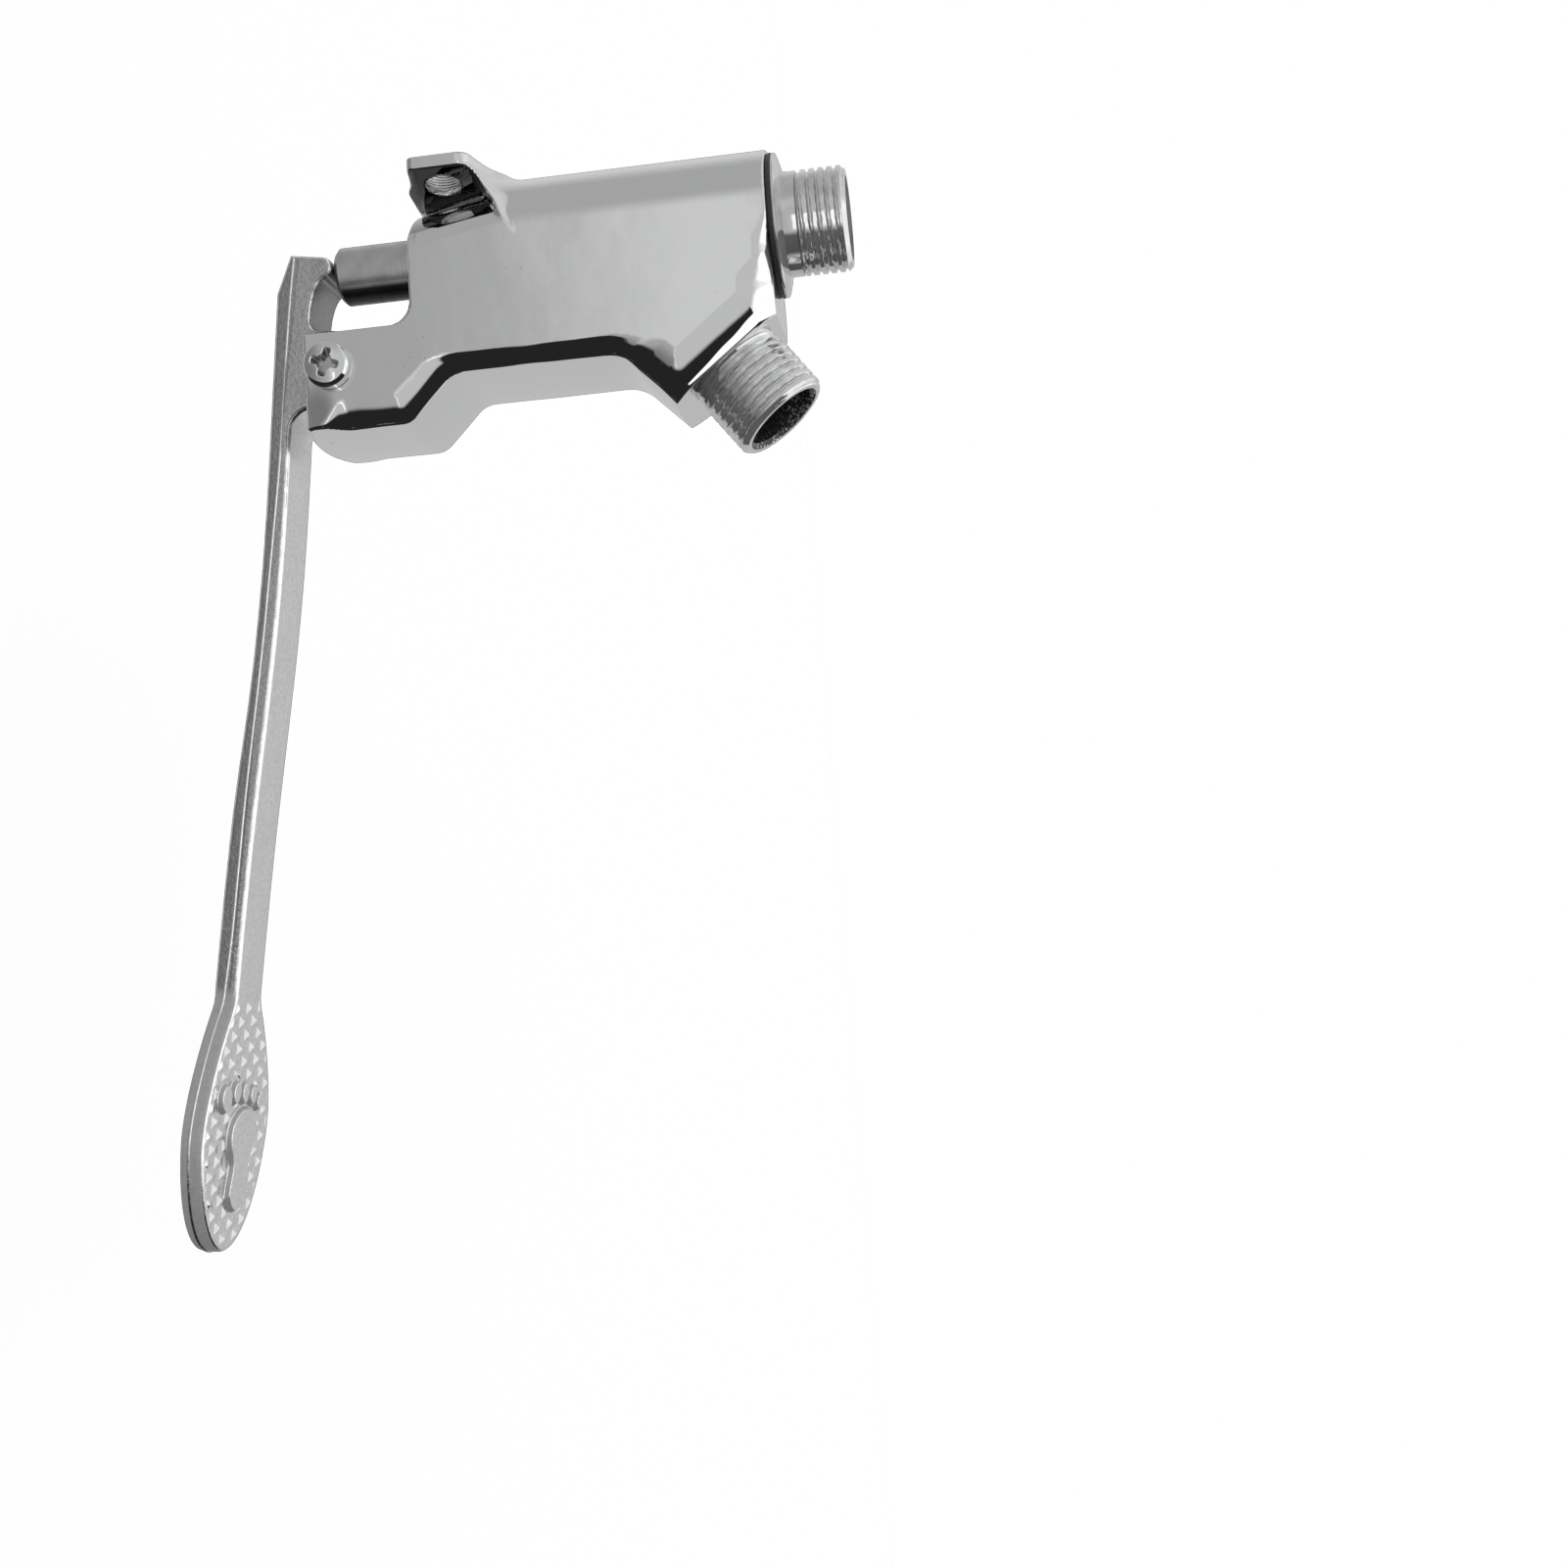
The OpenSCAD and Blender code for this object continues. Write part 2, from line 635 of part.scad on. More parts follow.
module spindle_nut() {
    color(brass) on_axis(spring_z)
        hex_nut(spindle_nut_af, spindle_nut_h, stem_thread_d + 2 * fixed_gap);
}

// Side view of the lever, x along the arm from the pivot and y square to it
module lever_side() {
    heel_y = -web_drop - web_t;
    end_x = nose[0] - nose_r;
    arm_start = boss_r - boss_back + boss_fillet;
    steps = 10;
    arm_line = [for (i = [0 : steps]) let (s = i / steps)
        [arm_start + (arm_len - arm_start) * s, arm_bow * sin(180 * s) - arm_drop]];
    polygon(concat(
        [for (i = [0 : steps]) arm_line[i] - [0, arm_t]],
        [for (i = [0 : steps]) arm_line[steps - i]],
        arc([arm_start, boss_fillet - arm_drop], boss_fillet, 270, 180),
        arc([-boss_back, 0], boss_r, 0, 180, 24),
        arc([-boss_back - boss_r - web_corner, web_corner - web_drop], web_corner, 0, -90, 6),
        [[nose[0] + 2 * nose_r, -web_drop]],
        arc(nose, nose_r, 30, 180),
        [[end_x, heel_y + nose_r], [end_x + heel_bevel, heel_y]]));
}

// Oval foot plate seen from above, starting at the end of the arm
module plate_outline() {
    steps = 48;
    polygon([for (i = [0 : steps - 1]) let (a = 360 * i / steps)
        [plate_len / 2 * (1 + cos(a)), plate_w / 2 * sin(a)]]);
}

// Lever, arm and foot plate in one casting
module pedal_lever() {
    color(chrome) translate([0, pivot_y, pivot_z]) rotate([arm_tilt, 0, 0]) rotate([0, 0, -90])
        difference() {
            union() {
                rotate([90, 0, 0]) linear_extrude(lever_w, center = true) lever_side();
                translate([arm_len - plate_lap, 0, -arm_drop - plate_t]) linear_extrude(plate_t)
                    plate_outline();
            }
            rotate([90, 0, 0])
                cylinder(r = pivot_d / 2 + running_gap + pivot_bush_wall + fixed_gap,
                         h = 2 * lever_w, center = true);
        }
}

module pivot_bush() {
    bore_r = pivot_d / 2 + running_gap;
    color(brass) on_pivot(-lever_w / 2) ring(bore_r + pivot_bush_wall, bore_r, lever_w);
}

// Pan head screw through both ears, with a cross slot
module pivot_screw() {
    reach = body_w + pivot_washer_t + pivot_nut_h + screw_past;
    head_r = screw_head_d / 2;
    edge = screw_head_h / 2;
    color(chrome) on_pivot(-body_w / 2) difference() {
        union() {
            cylinder(d = pivot_d, h = reach);
            rotate([180, 0, 0]) rotate_extrude() polygon(concat([[0, 0], [head_r, 0]],
                arc([head_r - edge, screw_head_h - edge], edge, 0, 90, 8), [[0, screw_head_h]]));
        }
        for (turn = [0, 90]) rotate(turn)
            translate([-cross_w / 2, -cross_len / 2, -screw_head_h - cut])
                cube([cross_w, cross_len, cross_depth + cut]);
    }
}

module pivot_washer() {
    color(machined) on_pivot(body_w / 2)
        ring(pivot_washer_d / 2, pivot_d / 2 + running_gap, pivot_washer_t);
}

module pivot_nut() {
    color(chrome) on_pivot(body_w / 2 + pivot_washer_t)
        hex_nut(pivot_nut_af, pivot_nut_h, pivot_d + 2 * fixed_gap);
}

valve_body();
inlet_nipple();
inlet_gasket();
seat_ring();
seat_oring();
return_spring();
spring_retainer();
inlet_strainer();
strainer_circlip();
guide_bush();
bush_oring();
wiper_ring();
bush_circlip();
push_rod();
rod_oring_lower();
rod_oring_upper();
washer_plate();
seat_washer();
disc_holder();
spindle_nut();
pedal_lever();
pivot_bush();
pivot_screw();
pivot_washer();
pivot_nut();
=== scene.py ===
import math

import bpy
import numpy as np
from mathutils import Matrix, Vector


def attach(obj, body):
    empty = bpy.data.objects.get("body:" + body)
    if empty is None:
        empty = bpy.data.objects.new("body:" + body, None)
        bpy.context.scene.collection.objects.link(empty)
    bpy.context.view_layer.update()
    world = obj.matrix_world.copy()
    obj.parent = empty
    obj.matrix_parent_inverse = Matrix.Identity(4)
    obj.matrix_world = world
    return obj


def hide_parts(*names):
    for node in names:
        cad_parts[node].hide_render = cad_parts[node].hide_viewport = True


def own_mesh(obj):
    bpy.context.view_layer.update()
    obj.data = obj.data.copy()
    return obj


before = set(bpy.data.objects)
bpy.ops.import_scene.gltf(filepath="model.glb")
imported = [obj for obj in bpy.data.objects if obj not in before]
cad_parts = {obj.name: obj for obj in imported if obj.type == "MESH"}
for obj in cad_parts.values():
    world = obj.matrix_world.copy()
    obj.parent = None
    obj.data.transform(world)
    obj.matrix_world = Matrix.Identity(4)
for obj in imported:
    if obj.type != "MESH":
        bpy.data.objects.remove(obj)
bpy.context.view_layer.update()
scene = bpy.context.scene
scene.view_settings.view_transform = "Standard"

# The valve hangs in a white room, whose plain zones of light are what the chrome mirrors.
# A black screen stands in front of the pedal, and the plain pale floor only catches the shadow.
FLOOR_Z = -0.19
FLOOR_SIZE = 6
ROOM_LIGHT = 0.62
CAMERA_LENS = 41.15
CAMERA_PLACE = Vector((-0.3563, -0.1583, 0.0994))
CAMERA_RIGHT = Vector((0.1183, -0.0738, 0.9902))
CAMERA_UP = Vector((-0.0696, 0.9942, 0.0824))
NEAR_LEVELS = (0.45, 0.73)
INLET_LEVEL = 0.62
FAR_LEVEL = 0.58
WALL_LEVELS = (0.46, 0.7)
LOW_LEVELS = (0.22, 0.55)
SOFT_BOX_LEVEL = 1.5
ABOVE_WALL_LEVEL = 0.68
CEILING_LEVELS = (1.0, 1.35)
SCREEN_LEVEL = 0.02


def add_node(tree, kind, **settings):
    made = tree.nodes.new(kind)
    for name, value in settings.items():
        setattr(made, name, value)
    return made


def set_input(tree, socket, value):
    """Link a socket, or set it where value is a plain number or colour"""
    if isinstance(value, bpy.types.NodeSocket):
        tree.links.new(value, socket)
    else:
        socket.default_value = value


def add_math(tree, operation, *values):
    made = add_node(tree, "ShaderNodeMath", operation=operation)
    for socket, value in zip(made.inputs, values):
        set_input(tree, socket, value)
    return made.outputs[0]


def add_range(tree, value, low, high, to_low, to_high):
    """Smooth change from to_low to to_high, as value goes from low to high"""
    made = add_node(tree, "ShaderNodeMapRange", interpolation_type="SMOOTHSTEP")
    labels = ("Value", "From Min", "From Max", "To Min", "To Max")
    for label, number in zip(labels, (value, low, high, to_low, to_high)):
        set_input(tree, made.inputs[label], number)
    return made.outputs["Result"]


def add_blend(tree, share, first, second):
    made = add_node(tree, "ShaderNodeMix", data_type="FLOAT")
    for number, value in ((0, share), (2, first), (3, second)):
        set_input(tree, made.inputs[number], value)
    return made.outputs[0]


def add_zone(tree, *limits):
    """Share that reaches 1 where each value has gone from its first limit to its second"""
    share = 1.0
    for value, first, second in limits:
        share = add_math(tree, "MULTIPLY", share, add_range(tree, value, first, second, 0, 1))
    return share


def add_split(tree, vector):
    made = add_node(tree, "ShaderNodeSeparateXYZ")
    tree.links.new(vector, made.inputs[0])
    return made.outputs


camera_data = bpy.data.cameras.new("front_camera")
camera_data.sensor_width = 36
camera_data.lens = CAMERA_LENS
camera_data.clip_start = 0.01
camera_data.clip_end = 30
camera = bpy.data.objects.new("front_camera", camera_data)
scene.collection.objects.link(camera)
right = CAMERA_RIGHT.normalized()
back = right.cross(CAMERA_UP).normalized()
up = back.cross(right)
camera.matrix_world = Matrix.Translation(CAMERA_PLACE) @ Matrix((right, up, back)).transposed().to_4x4()
scene.camera = camera

room = bpy.data.worlds.new("white_room")
scene.world = room
room.use_nodes = True
room.cycles.sampling_method = "NONE"
tree = room.node_tree
tree.nodes.clear()
across, inward, upward = add_split(tree, add_node(tree, "ShaderNodeTexCoord").outputs["Generated"])
level = add_range(tree, upward, -0.29, -0.11, *NEAR_LEVELS)
level = add_blend(tree, add_zone(tree, (upward, -0.1, -0.075)), level, INLET_LEVEL)
level = add_blend(tree, add_zone(tree, (across, -0.75, 0.75)), level, FAR_LEVEL)
wall = add_range(tree, across, 0.0, 0.6, *WALL_LEVELS)
level = add_blend(tree, add_zone(tree, (inward, 0.42, 0.75)), level, wall)
low_side = add_range(tree, across, -0.5, 0.5, *LOW_LEVELS)
level = add_blend(tree, add_zone(tree, (upward, -0.3, -0.7)), level, low_side)
beside = add_math(tree, "ADD", upward, add_math(tree, "MULTIPLY", inward, 0.6))
soft_box = add_zone(tree, (upward, -0.112, -0.095), (across, -0.8, -0.9), (inward, 0.04, -0.04),
                    (upward, -0.04, -0.05), (beside, -0.02, -0.05))
level = add_blend(tree, soft_box, level, SOFT_BOX_LEVEL)
above_wall = add_zone(tree, (upward, 0.1, 0.35), (inward, 0.3, 0.5))
level = add_blend(tree, above_wall, level, ABOVE_WALL_LEVEL)
ceiling = add_math(tree, "MULTIPLY", add_zone(tree, (upward, 0.42, 0.6), (across, -0.75, -0.55)),
                   add_range(tree, inward, 0.5, 0.2, 0.2, 1))
level = add_blend(tree, ceiling, level, add_range(tree, upward, 0.7, 0.9, *CEILING_LEVELS))
lean = add_math(tree, "MAXIMUM", add_math(tree, "SUBTRACT", across, 0.5), 0.0)
sink = add_math(tree, "MINIMUM", add_math(tree, "ADD", upward, 0.4), 0.0)
lean = add_math(tree, "ADD", lean, add_math(tree, "MULTIPLY", sink, 0.45))
forward = add_math(tree, "ADD", inward, lean)
steep = add_math(tree, "ADD", upward, add_math(tree, "MULTIPLY", inward, 1.6))
screen = add_zone(tree, (forward, -0.34, -0.44), (across, -0.85, -0.7), (steep, 0.03, -0.03))
level = add_blend(tree, screen, level, SCREEN_LEVEL)
lights = []
for strength in (level, ROOM_LIGHT, 1.0):
    background = add_node(tree, "ShaderNodeBackground")
    background.inputs["Color"].default_value = (1, 1, 1, 1)
    set_input(tree, background.inputs["Strength"], strength)
    lights.append(background.outputs[0])
plating_view, plain_light, white_view = lights
ray = add_node(tree, "ShaderNodeLightPath")
mirrored = add_math(tree, "MAXIMUM", ray.outputs["Is Glossy Ray"], ray.outputs["Is Transmission Ray"])
seen = plain_light
for share, light in ((mirrored, plating_view), (ray.outputs["Is Camera Ray"], white_view)):
    mixed = add_node(tree, "ShaderNodeMixShader")
    for socket, source in zip(mixed.inputs, (share, seen, light)):
        tree.links.new(source, socket)
    seen = mixed.outputs[0]
tree.links.new(seen, add_node(tree, "ShaderNodeOutputWorld").inputs["Surface"])


def soft_lamp(name, place, aim, size, power):
    data = bpy.data.lights.new(name, "AREA")
    data.size = size
    data.energy = power
    lamp = bpy.data.objects.new(name, data)
    scene.collection.objects.link(lamp)
    lamp.location = place
    lamp.rotation_euler = (Vector(aim) - Vector(place)).to_track_quat("-Z", "Y").to_euler()
    lamp.visible_glossy = False


soft_lamp("lamp_over_valve", (0.5, 0.15, 1.1), (0, -0.08, 0), 0.9, 6.0)
soft_lamp("lamp_beside_valve", (-0.9, 0.4, 0.6), (0, -0.08, 0), 0.8, 2.5)

bpy.ops.mesh.primitive_grid_add(x_subdivisions=4, y_subdivisions=4, size=FLOOR_SIZE,
                                location=(0, -0.1, FLOOR_Z))
floor = bpy.context.object
floor.name = "pale_floor"
floor.is_shadow_catcher = True
floor.visible_glossy = False
pale_paint = bpy.data.materials.new("pale_floor_paint")
pale_paint.use_nodes = True
pale_paint.node_tree.nodes["Principled BSDF"].inputs["Base Color"].default_value = (0.9, 0.9, 0.9, 1)
pale_paint.node_tree.nodes["Principled BSDF"].inputs["Roughness"].default_value = 0.8
floor.data.materials.append(pale_paint)

# The body is one brass casting, ground and polished by hand, then plated with nickel and chrome.
# It carries the valve's bore, the outlet boss, the fork for the pedal and two lugs for the wall screws.
# Lengths below are in mm: x across, b from the valve axis towards the wall, z up from the lug holes.
AXIS_DEPTH = 15.5
BARREL_R = 15.0
TOP_Z = 65.5
BOTTOM_Z = -7.9
FRONT_B = -26.5
FRONT_CROWN = 1.1
EAR_FRONT_B = -35.9
EAR_BACK_B = -16.7
EAR_END_Z = -30.5
EAR_CROWN = 2.2
EAR_SAG = 1.3
KNEE_Z = -10.1
OUTLET_ANGLE = math.radians(53)
OUTLET_Z = 34.2
BOSS_REACH = 36.0
BOSS_EDGE = 11.2
BOSS_CORNER = 5.0
BOSS_BEVEL = 4.4
FRONT_BEVEL = 2.75
EAR_BEVEL_MORE = 0.5
BEVEL_TURN = math.radians(39)
TOP_ROUND = 3.0
PIVOT_B = -23.9
PIVOT_Z = -25.1
PIVOT_HOLE_R = 2.55
FORK_HALF = 6.8
FORK_FRONT_B = -31.1
FORK_TOP_Z = -15.9
LUG_HOLE_X = 12.5
LUG_HOLE_R = 3.5
LUG_TIP_X = 19.3
LUG_FRONT_B = 13.1
GUIDE_R = 9.03
GUIDE_TOP_Z = 11.53
CHAMBER_R = 8
CHAMBER_TOP_Z = 52
SEAT_R = 9.53
SEAT_Z = 54
SEAT_HALF = 2.5
SEAT_TOP_Z = 56.5
INLET_R = 10.93
DRILLING_R = 6
PORT_R = 7.75
PORT_START = 32.4
SKIN_STEP = 0.45
SLOPE_REACH = 0.02
NORMAL_REACH = 0.03
CORNER_STEPS = 10
CHROME = (0.78, 0.785, 0.79, 1)
PITTED = (0.45, 0.45, 0.45, 1)
# Grey for the film on the threads, and for painted shade in the hollows below the lugs and in the screw's
# cross
FILM_AND_SHADE_GREY = (0.29, 0.29, 0.29, 1)


def soft_step(value, low, high):
    share = np.clip((value - low) / (high - low), 0, 1)
    return share * share * (3 - 2 * share)


def rounded_outline(corners):
    """Closed outline through corners, each a point and the radius it is rounded to"""
    line = []
    for i, (corner, radius) in enumerate(corners):
        corner = np.array(corner, float)
        before = np.array(corners[i - 1][0], float) - corner
        after = np.array(corners[(i + 1) % len(corners)][0], float) - corner
        before /= np.linalg.norm(before)
        after /= np.linalg.norm(after)
        if radius == 0:
            line.append(corner)
            continue
        half = math.acos(np.clip(before @ after, -1, 1)) / 2
        middle = corner + (before + after) / np.linalg.norm(before + after) * radius / math.sin(half)
        first = corner + before * radius / math.tan(half) - middle
        last = corner + after * radius / math.tan(half) - middle
        start = math.atan2(first[1], first[0])
        turn = (math.atan2(last[1], last[0]) - start + math.pi) % (2 * math.pi) - math.pi
        for step in range(CORNER_STEPS + 1):
            angle = start + turn * step / CORNER_STEPS
            line.append(middle + radius * np.array([math.cos(angle), math.sin(angle)]))
    return np.array(line)


def outline_distance(outline, u, w):
    """Distance of the points (u, w) from a closed outline, below zero inside it"""
    u, w = np.broadcast_arrays(u, w)
    nearest = np.full(u.shape, 1e12)
    inside = np.zeros(u.shape, bool)
    for start, end in zip(outline, np.roll(outline, -1, axis=0)):
        edge = end - start
        if edge @ edge < 1e-12:
            continue
        pu = u - start[0]
        pw = w - start[1]
        share = np.clip((pu * edge[0] + pw * edge[1]) / (edge @ edge), 0, 1)
        nearest = np.minimum(nearest, (pu - share * edge[0]) ** 2 + (pw - share * edge[1]) ** 2)
        if edge[1] != 0:
            spans = (start[1] <= w) != (end[1] <= w)
            inside ^= spans & (pu < pw * edge[0] / edge[1])
    return np.where(inside, -1, 1) * np.sqrt(nearest)


def rounded_meet(first, second, radius):
    """Overlap of two shapes with the edge between them rounded"""
    p = first + radius
    q = second + radius
    return np.minimum(np.maximum(p, q), 0) + np.hypot(np.maximum(p, 0), np.maximum(q, 0)) - radius


def blended_join(first, second, width):
    """Two shapes grown into each other with a soft hollow between them"""
    near = np.maximum(width - np.abs(first - second), 0) / width
    return np.minimum(first, second) - near * near * width / 4


def unit(rows):
    return rows / np.maximum(np.linalg.norm(rows, axis=1), 1e-9)[:, None]


def slope_of(field, points, reach):
    columns = []
    for axis in range(3):
        step = np.zeros(3)
        step[axis] = reach
        columns.append((field(*(points + step).T) - field(*(points - step).T)) / (2 * reach))
    return np.stack(columns, axis=1)


def settle(field, points, rounds, most=np.inf):
    """Points moved onto the surface where field is zero"""
    for _ in range(rounds):
        slope = slope_of(field, points, SLOPE_REACH)
        move = field(*points.T) / np.maximum((slope ** 2).sum(axis=1), 0.05)
        points = points - np.clip(move, -most, most)[:, None] * slope
    return points


def skin(field, low, high, step):
    """Points, four-sided faces and outward normals of the closed surface where field is zero"""
    axes = [np.arange(a, b + step, step) for a, b in zip(low, high)]
    grid = field(axes[0][:, None, None], axes[1][None, :, None], axes[2][None, None, :])
    inside = grid < 0
    cells = [length - 1 for length in grid.shape]
    corners = [(i, j, k) for i in (0, 1) for j in (0, 1) for k in (0, 1)]
    filled = np.zeros(cells, np.int8)
    for i, j, k in corners:
        filled += inside[i:i + cells[0], j:j + cells[1], k:k + cells[2]]
    crossed = np.argwhere((filled > 0) & (filled < 8))
    number = np.full(cells, -1)
    number[tuple(crossed.T)] = np.arange(len(crossed))
    value = [grid[tuple((crossed + corner).T)] for corner in corners]
    place = np.zeros((len(crossed), 3))
    count = np.zeros(len(crossed))
    for a in range(8):
        for b in range(a + 1, 8):
            if sum(p != q for p, q in zip(corners[a], corners[b])) != 1:
                continue
            cut = (value[a] < 0) != (value[b] < 0)
            share = np.where(cut, value[a] / np.where(cut, value[a] - value[b], 1), 0)
            along = np.array(corners[a]) + share[:, None] * (np.array(corners[b]) - corners[a])
            place += np.where(cut[:, None], along, 0)
            count += cut
    points = np.array([axis[0] for axis in axes]) + (crossed + place / count[:, None]) * step
    faces = []
    for axis in range(3):
        side, rise = (axis + 1) % 3, (axis + 2) % 3
        ahead = [slice(None)] * 3
        behind = [slice(None)] * 3
        ahead[axis] = slice(1, None)
        behind[axis] = slice(None, -1)
        edges = np.argwhere(inside[tuple(ahead)] != inside[tuple(behind)])
        quads = np.empty((len(edges), 4), int)
        for column, (ds, dr) in enumerate(((-1, -1), (0, -1), (0, 0), (-1, 0))):
            cell = edges.copy()
            cell[:, side] += ds
            cell[:, rise] += dr
            quads[:, column] = number[tuple(cell.T)]
        leaves = inside[tuple(edges.T)]
        faces.append(np.where(leaves[:, None], quads, quads[:, ::-1]))
    points = settle(field, points, 3, step)
    return points, np.concatenate(faces), unit(slope_of(field, points, NORMAL_REACH))


def add_piece(name, points, faces, normals=None, sharp_angle=None):
    """New mesh piece from points in mm"""
    mesh = bpy.data.meshes.new(name)
    mesh.from_pydata((np.asarray(points) / 1000).tolist(), [], [list(map(int, face)) for face in faces])
    mesh.update()
    mesh.shade_smooth()
    if sharp_angle is not None:
        mesh.set_sharp_from_angle(angle=math.radians(sharp_angle))
    if normals is not None:
        mesh.normals_split_custom_set_from_vertices(normals.tolist())
    piece = bpy.data.objects.new(name, mesh)
    scene.collection.objects.link(piece)
    return piece


def fit(piece, finish, node, body):
    """Give a piece its finish, hide the solid it stands for, and hang it on the body it moves with"""
    piece.data.materials.append(finish)
    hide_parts(node)
    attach(piece, body)


def outlet_point(along, off):
    return (-along * math.sin(OUTLET_ANGLE) - off * math.cos(OUTLET_ANGLE),
            OUTLET_Z + along * math.cos(OUTLET_ANGLE) - off * math.sin(OUTLET_ANGLE))


def along_outlet(b, z):
    return -b * math.sin(OUTLET_ANGLE) + (z - OUTLET_Z) * math.cos(OUTLET_ANGLE)


beyond_boss = BOSS_REACH + 20
top_off = (OUTLET_Z + beyond_boss * math.cos(OUTLET_ANGLE) - TOP_Z) / math.sin(OUTLET_ANGLE)
casting_outline = rounded_outline([
    ((30, TOP_Z), 0), ((30, BOTTOM_Z), 0), ((EAR_BACK_B, BOTTOM_Z), 4.5), ((EAR_BACK_B, -40), 0),
    ((EAR_FRONT_B, -40), 0), ((EAR_FRONT_B, KNEE_Z), 4),
    ((FRONT_B, KNEE_Z - EAR_FRONT_B + FRONT_B), 6), ((FRONT_B, OUTLET_Z), 9),
    (outlet_point(beyond_boss, BOSS_EDGE), 0), (outlet_point(beyond_boss, top_off), 0)])
lug_outline = rounded_outline([
    ((-2, BOTTOM_Z), 0), ((5, BOTTOM_Z), 0), ((LUG_TIP_X, -5.4), 1.2), ((LUG_TIP_X, 6.7), 2.5),
    ((9.5, 9.1), 0), ((5.9, 10.3), 0), ((-2, 10.3), 0)])


def bevel_width(b, z, front):
    """Width of the bevel ground along the front, with the waves of a hand-held wheel"""
    width = FRONT_BEVEL + EAR_BEVEL_MORE * (1 - soft_step(z, -12, 0))
    width = width + 0.15 * np.sin(0.25 * z + 0.8) + 0.07 * np.sin(0.6 * z + 2.1)
    width = width * front * soft_step(z, -29, -22)
    at_boss = soft_step(along_outlet(b, z), 18, 27) * (1 - soft_step(b, -16, -8))
    return np.maximum(width, BOSS_BEVEL * at_boss)


def wall_lug(side, b, z):
    """Distance from a lug, which narrows from the wall towards the barrel"""
    rise = z - 0.5 * np.maximum(LUG_FRONT_B - b, 0) * soft_step(z, -2, 6)
    taper = (side - BARREL_R - (b - 1.5) * 0.37) * 0.938
    lug = rounded_meet(outline_distance(lug_outline, side, rise), taper, 0.5)
    return rounded_meet(np.maximum(lug, -2 - b), b - AXIS_DEPTH, 0.5)


def lug_hollow(side, b, z):
    """Distance from the hollow between a lug's inner face, the barrel and the shoulder above"""
    lug_face = (b - 12.8 + 0.168 * (LUG_TIP_X - side)) * 0.986
    body_wall = 20.0 - np.hypot(side + 1.9, np.maximum(b + 8.67 - 0.19 * (z - 0.5), 0))
    shoulder = (z - 7.3 - 0.54 * (LUG_FRONT_B - b) + 0.123 * (19 - side)) * 0.875
    return rounded_meet(rounded_meet(lug_face, body_wall, 0.8), shoulder, 1.4)


def water_way(x, b, z):
    """Distance from the bores: guide, chamber, seat, inlet and outlet"""
    radius = np.hypot(x, b)
    way = np.maximum(radius - GUIDE_R, z - GUIDE_TOP_Z)
    way = np.minimum(way, np.maximum(radius - CHAMBER_R, z - CHAMBER_TOP_Z))
    way = np.minimum(way, np.maximum(radius - SEAT_R, np.abs(z - SEAT_Z) - SEAT_HALF))
    way = np.minimum(way, np.maximum(radius - INLET_R, SEAT_TOP_Z - z))
    along = along_outlet(b, z)
    off = np.hypot(x, b * math.cos(OUTLET_ANGLE) + (z - OUTLET_Z) * math.sin(OUTLET_ANGLE))
    outlet = np.minimum(np.maximum(off - DRILLING_R, -along), np.maximum(off - PORT_R, PORT_START - along))
    return np.minimum(way, outlet)


def casting(x, b, z):
    """Distance from the skin of the casting, in mm"""
    side = np.abs(x)
    sag = EAR_SAG * (1 - soft_step(z, -32, -24)) * (1 - soft_step(b, -33, -23.5))
    barrel = np.hypot(x, np.maximum(b, 0)) - BARREL_R + sag
    along = along_outlet(b, z)
    crown = 1 - np.minimum(side / BARREL_R, 1) ** 2
    front = 1 - soft_step(b, -25.5, -21)
    outline = outline_distance(casting_outline, b, z)
    profile = np.maximum(outline - FRONT_CROWN * crown * front, along - BOSS_REACH)
    bevel = bevel_width(b, z, front)
    ground = rounded_meet(outline, along - BOSS_REACH, BOSS_CORNER) + bevel
    ground = math.cos(BEVEL_TURN) * barrel + math.sin(BEVEL_TURN) * ground
    solid = rounded_meet(barrel, ground, 0.2 + 0.35 * bevel)
    top_edge = TOP_ROUND * (1 - soft_step(b, -9, -2)) * soft_step(z, 45, 58) * (1 - soft_step(along, 26, 32))
    solid = rounded_meet(solid, profile, 0.5 + top_edge)
    solid = rounded_meet(solid, EAR_END_Z - EAR_CROWN * crown * (1 - soft_step(b, -31, -28)) - z, 0.6)
    solid = blended_join(solid, wall_lug(side, b, z), 1.0 + 4.0 * soft_step(b, 3, 9))
    solid = rounded_meet(solid, b - AXIS_DEPTH, 0.4)
    solid = rounded_meet(solid, BOTTOM_Z - z - 100 * (1 - soft_step(b, -10, -8)), 0.6)
    solid = rounded_meet(solid, -lug_hollow(side, b, z), 0.25 + 0.9 * (1 - soft_step(b, 8, 11)))
    hole = np.maximum(np.hypot(side - LUG_HOLE_X, z) - LUG_HOLE_R, 7 - b)
    solid = rounded_meet(solid, -hole, 0.25)
    slot = np.maximum(np.maximum(side - FORK_HALF, FORK_FRONT_B - b), z - FORK_TOP_Z)
    solid = rounded_meet(solid, -slot, 0.35)
    pivot = np.hypot(b - PIVOT_B, z - PIVOT_Z) - PIVOT_HOLE_R
    return np.maximum(solid, -np.minimum(water_way(x, b, z), pivot))


def surface_group(name, inputs, output):
    """Empty shader group with a place on the piece, named numbers and one result"""
    group = bpy.data.node_groups.new(name, "ShaderNodeTree")
    group.interface.new_socket("Place", in_out="INPUT", socket_type="NodeSocketVector")
    for label in inputs:
        group.interface.new_socket(label, in_out="INPUT", socket_type="NodeSocketFloat")
    group.interface.new_socket(output, in_out="OUTPUT", socket_type="NodeSocketFloat")
    given = group.nodes.new("NodeGroupInput")
    result = group.nodes.new("NodeGroupOutput")
    return group, given.outputs, result.inputs[0]


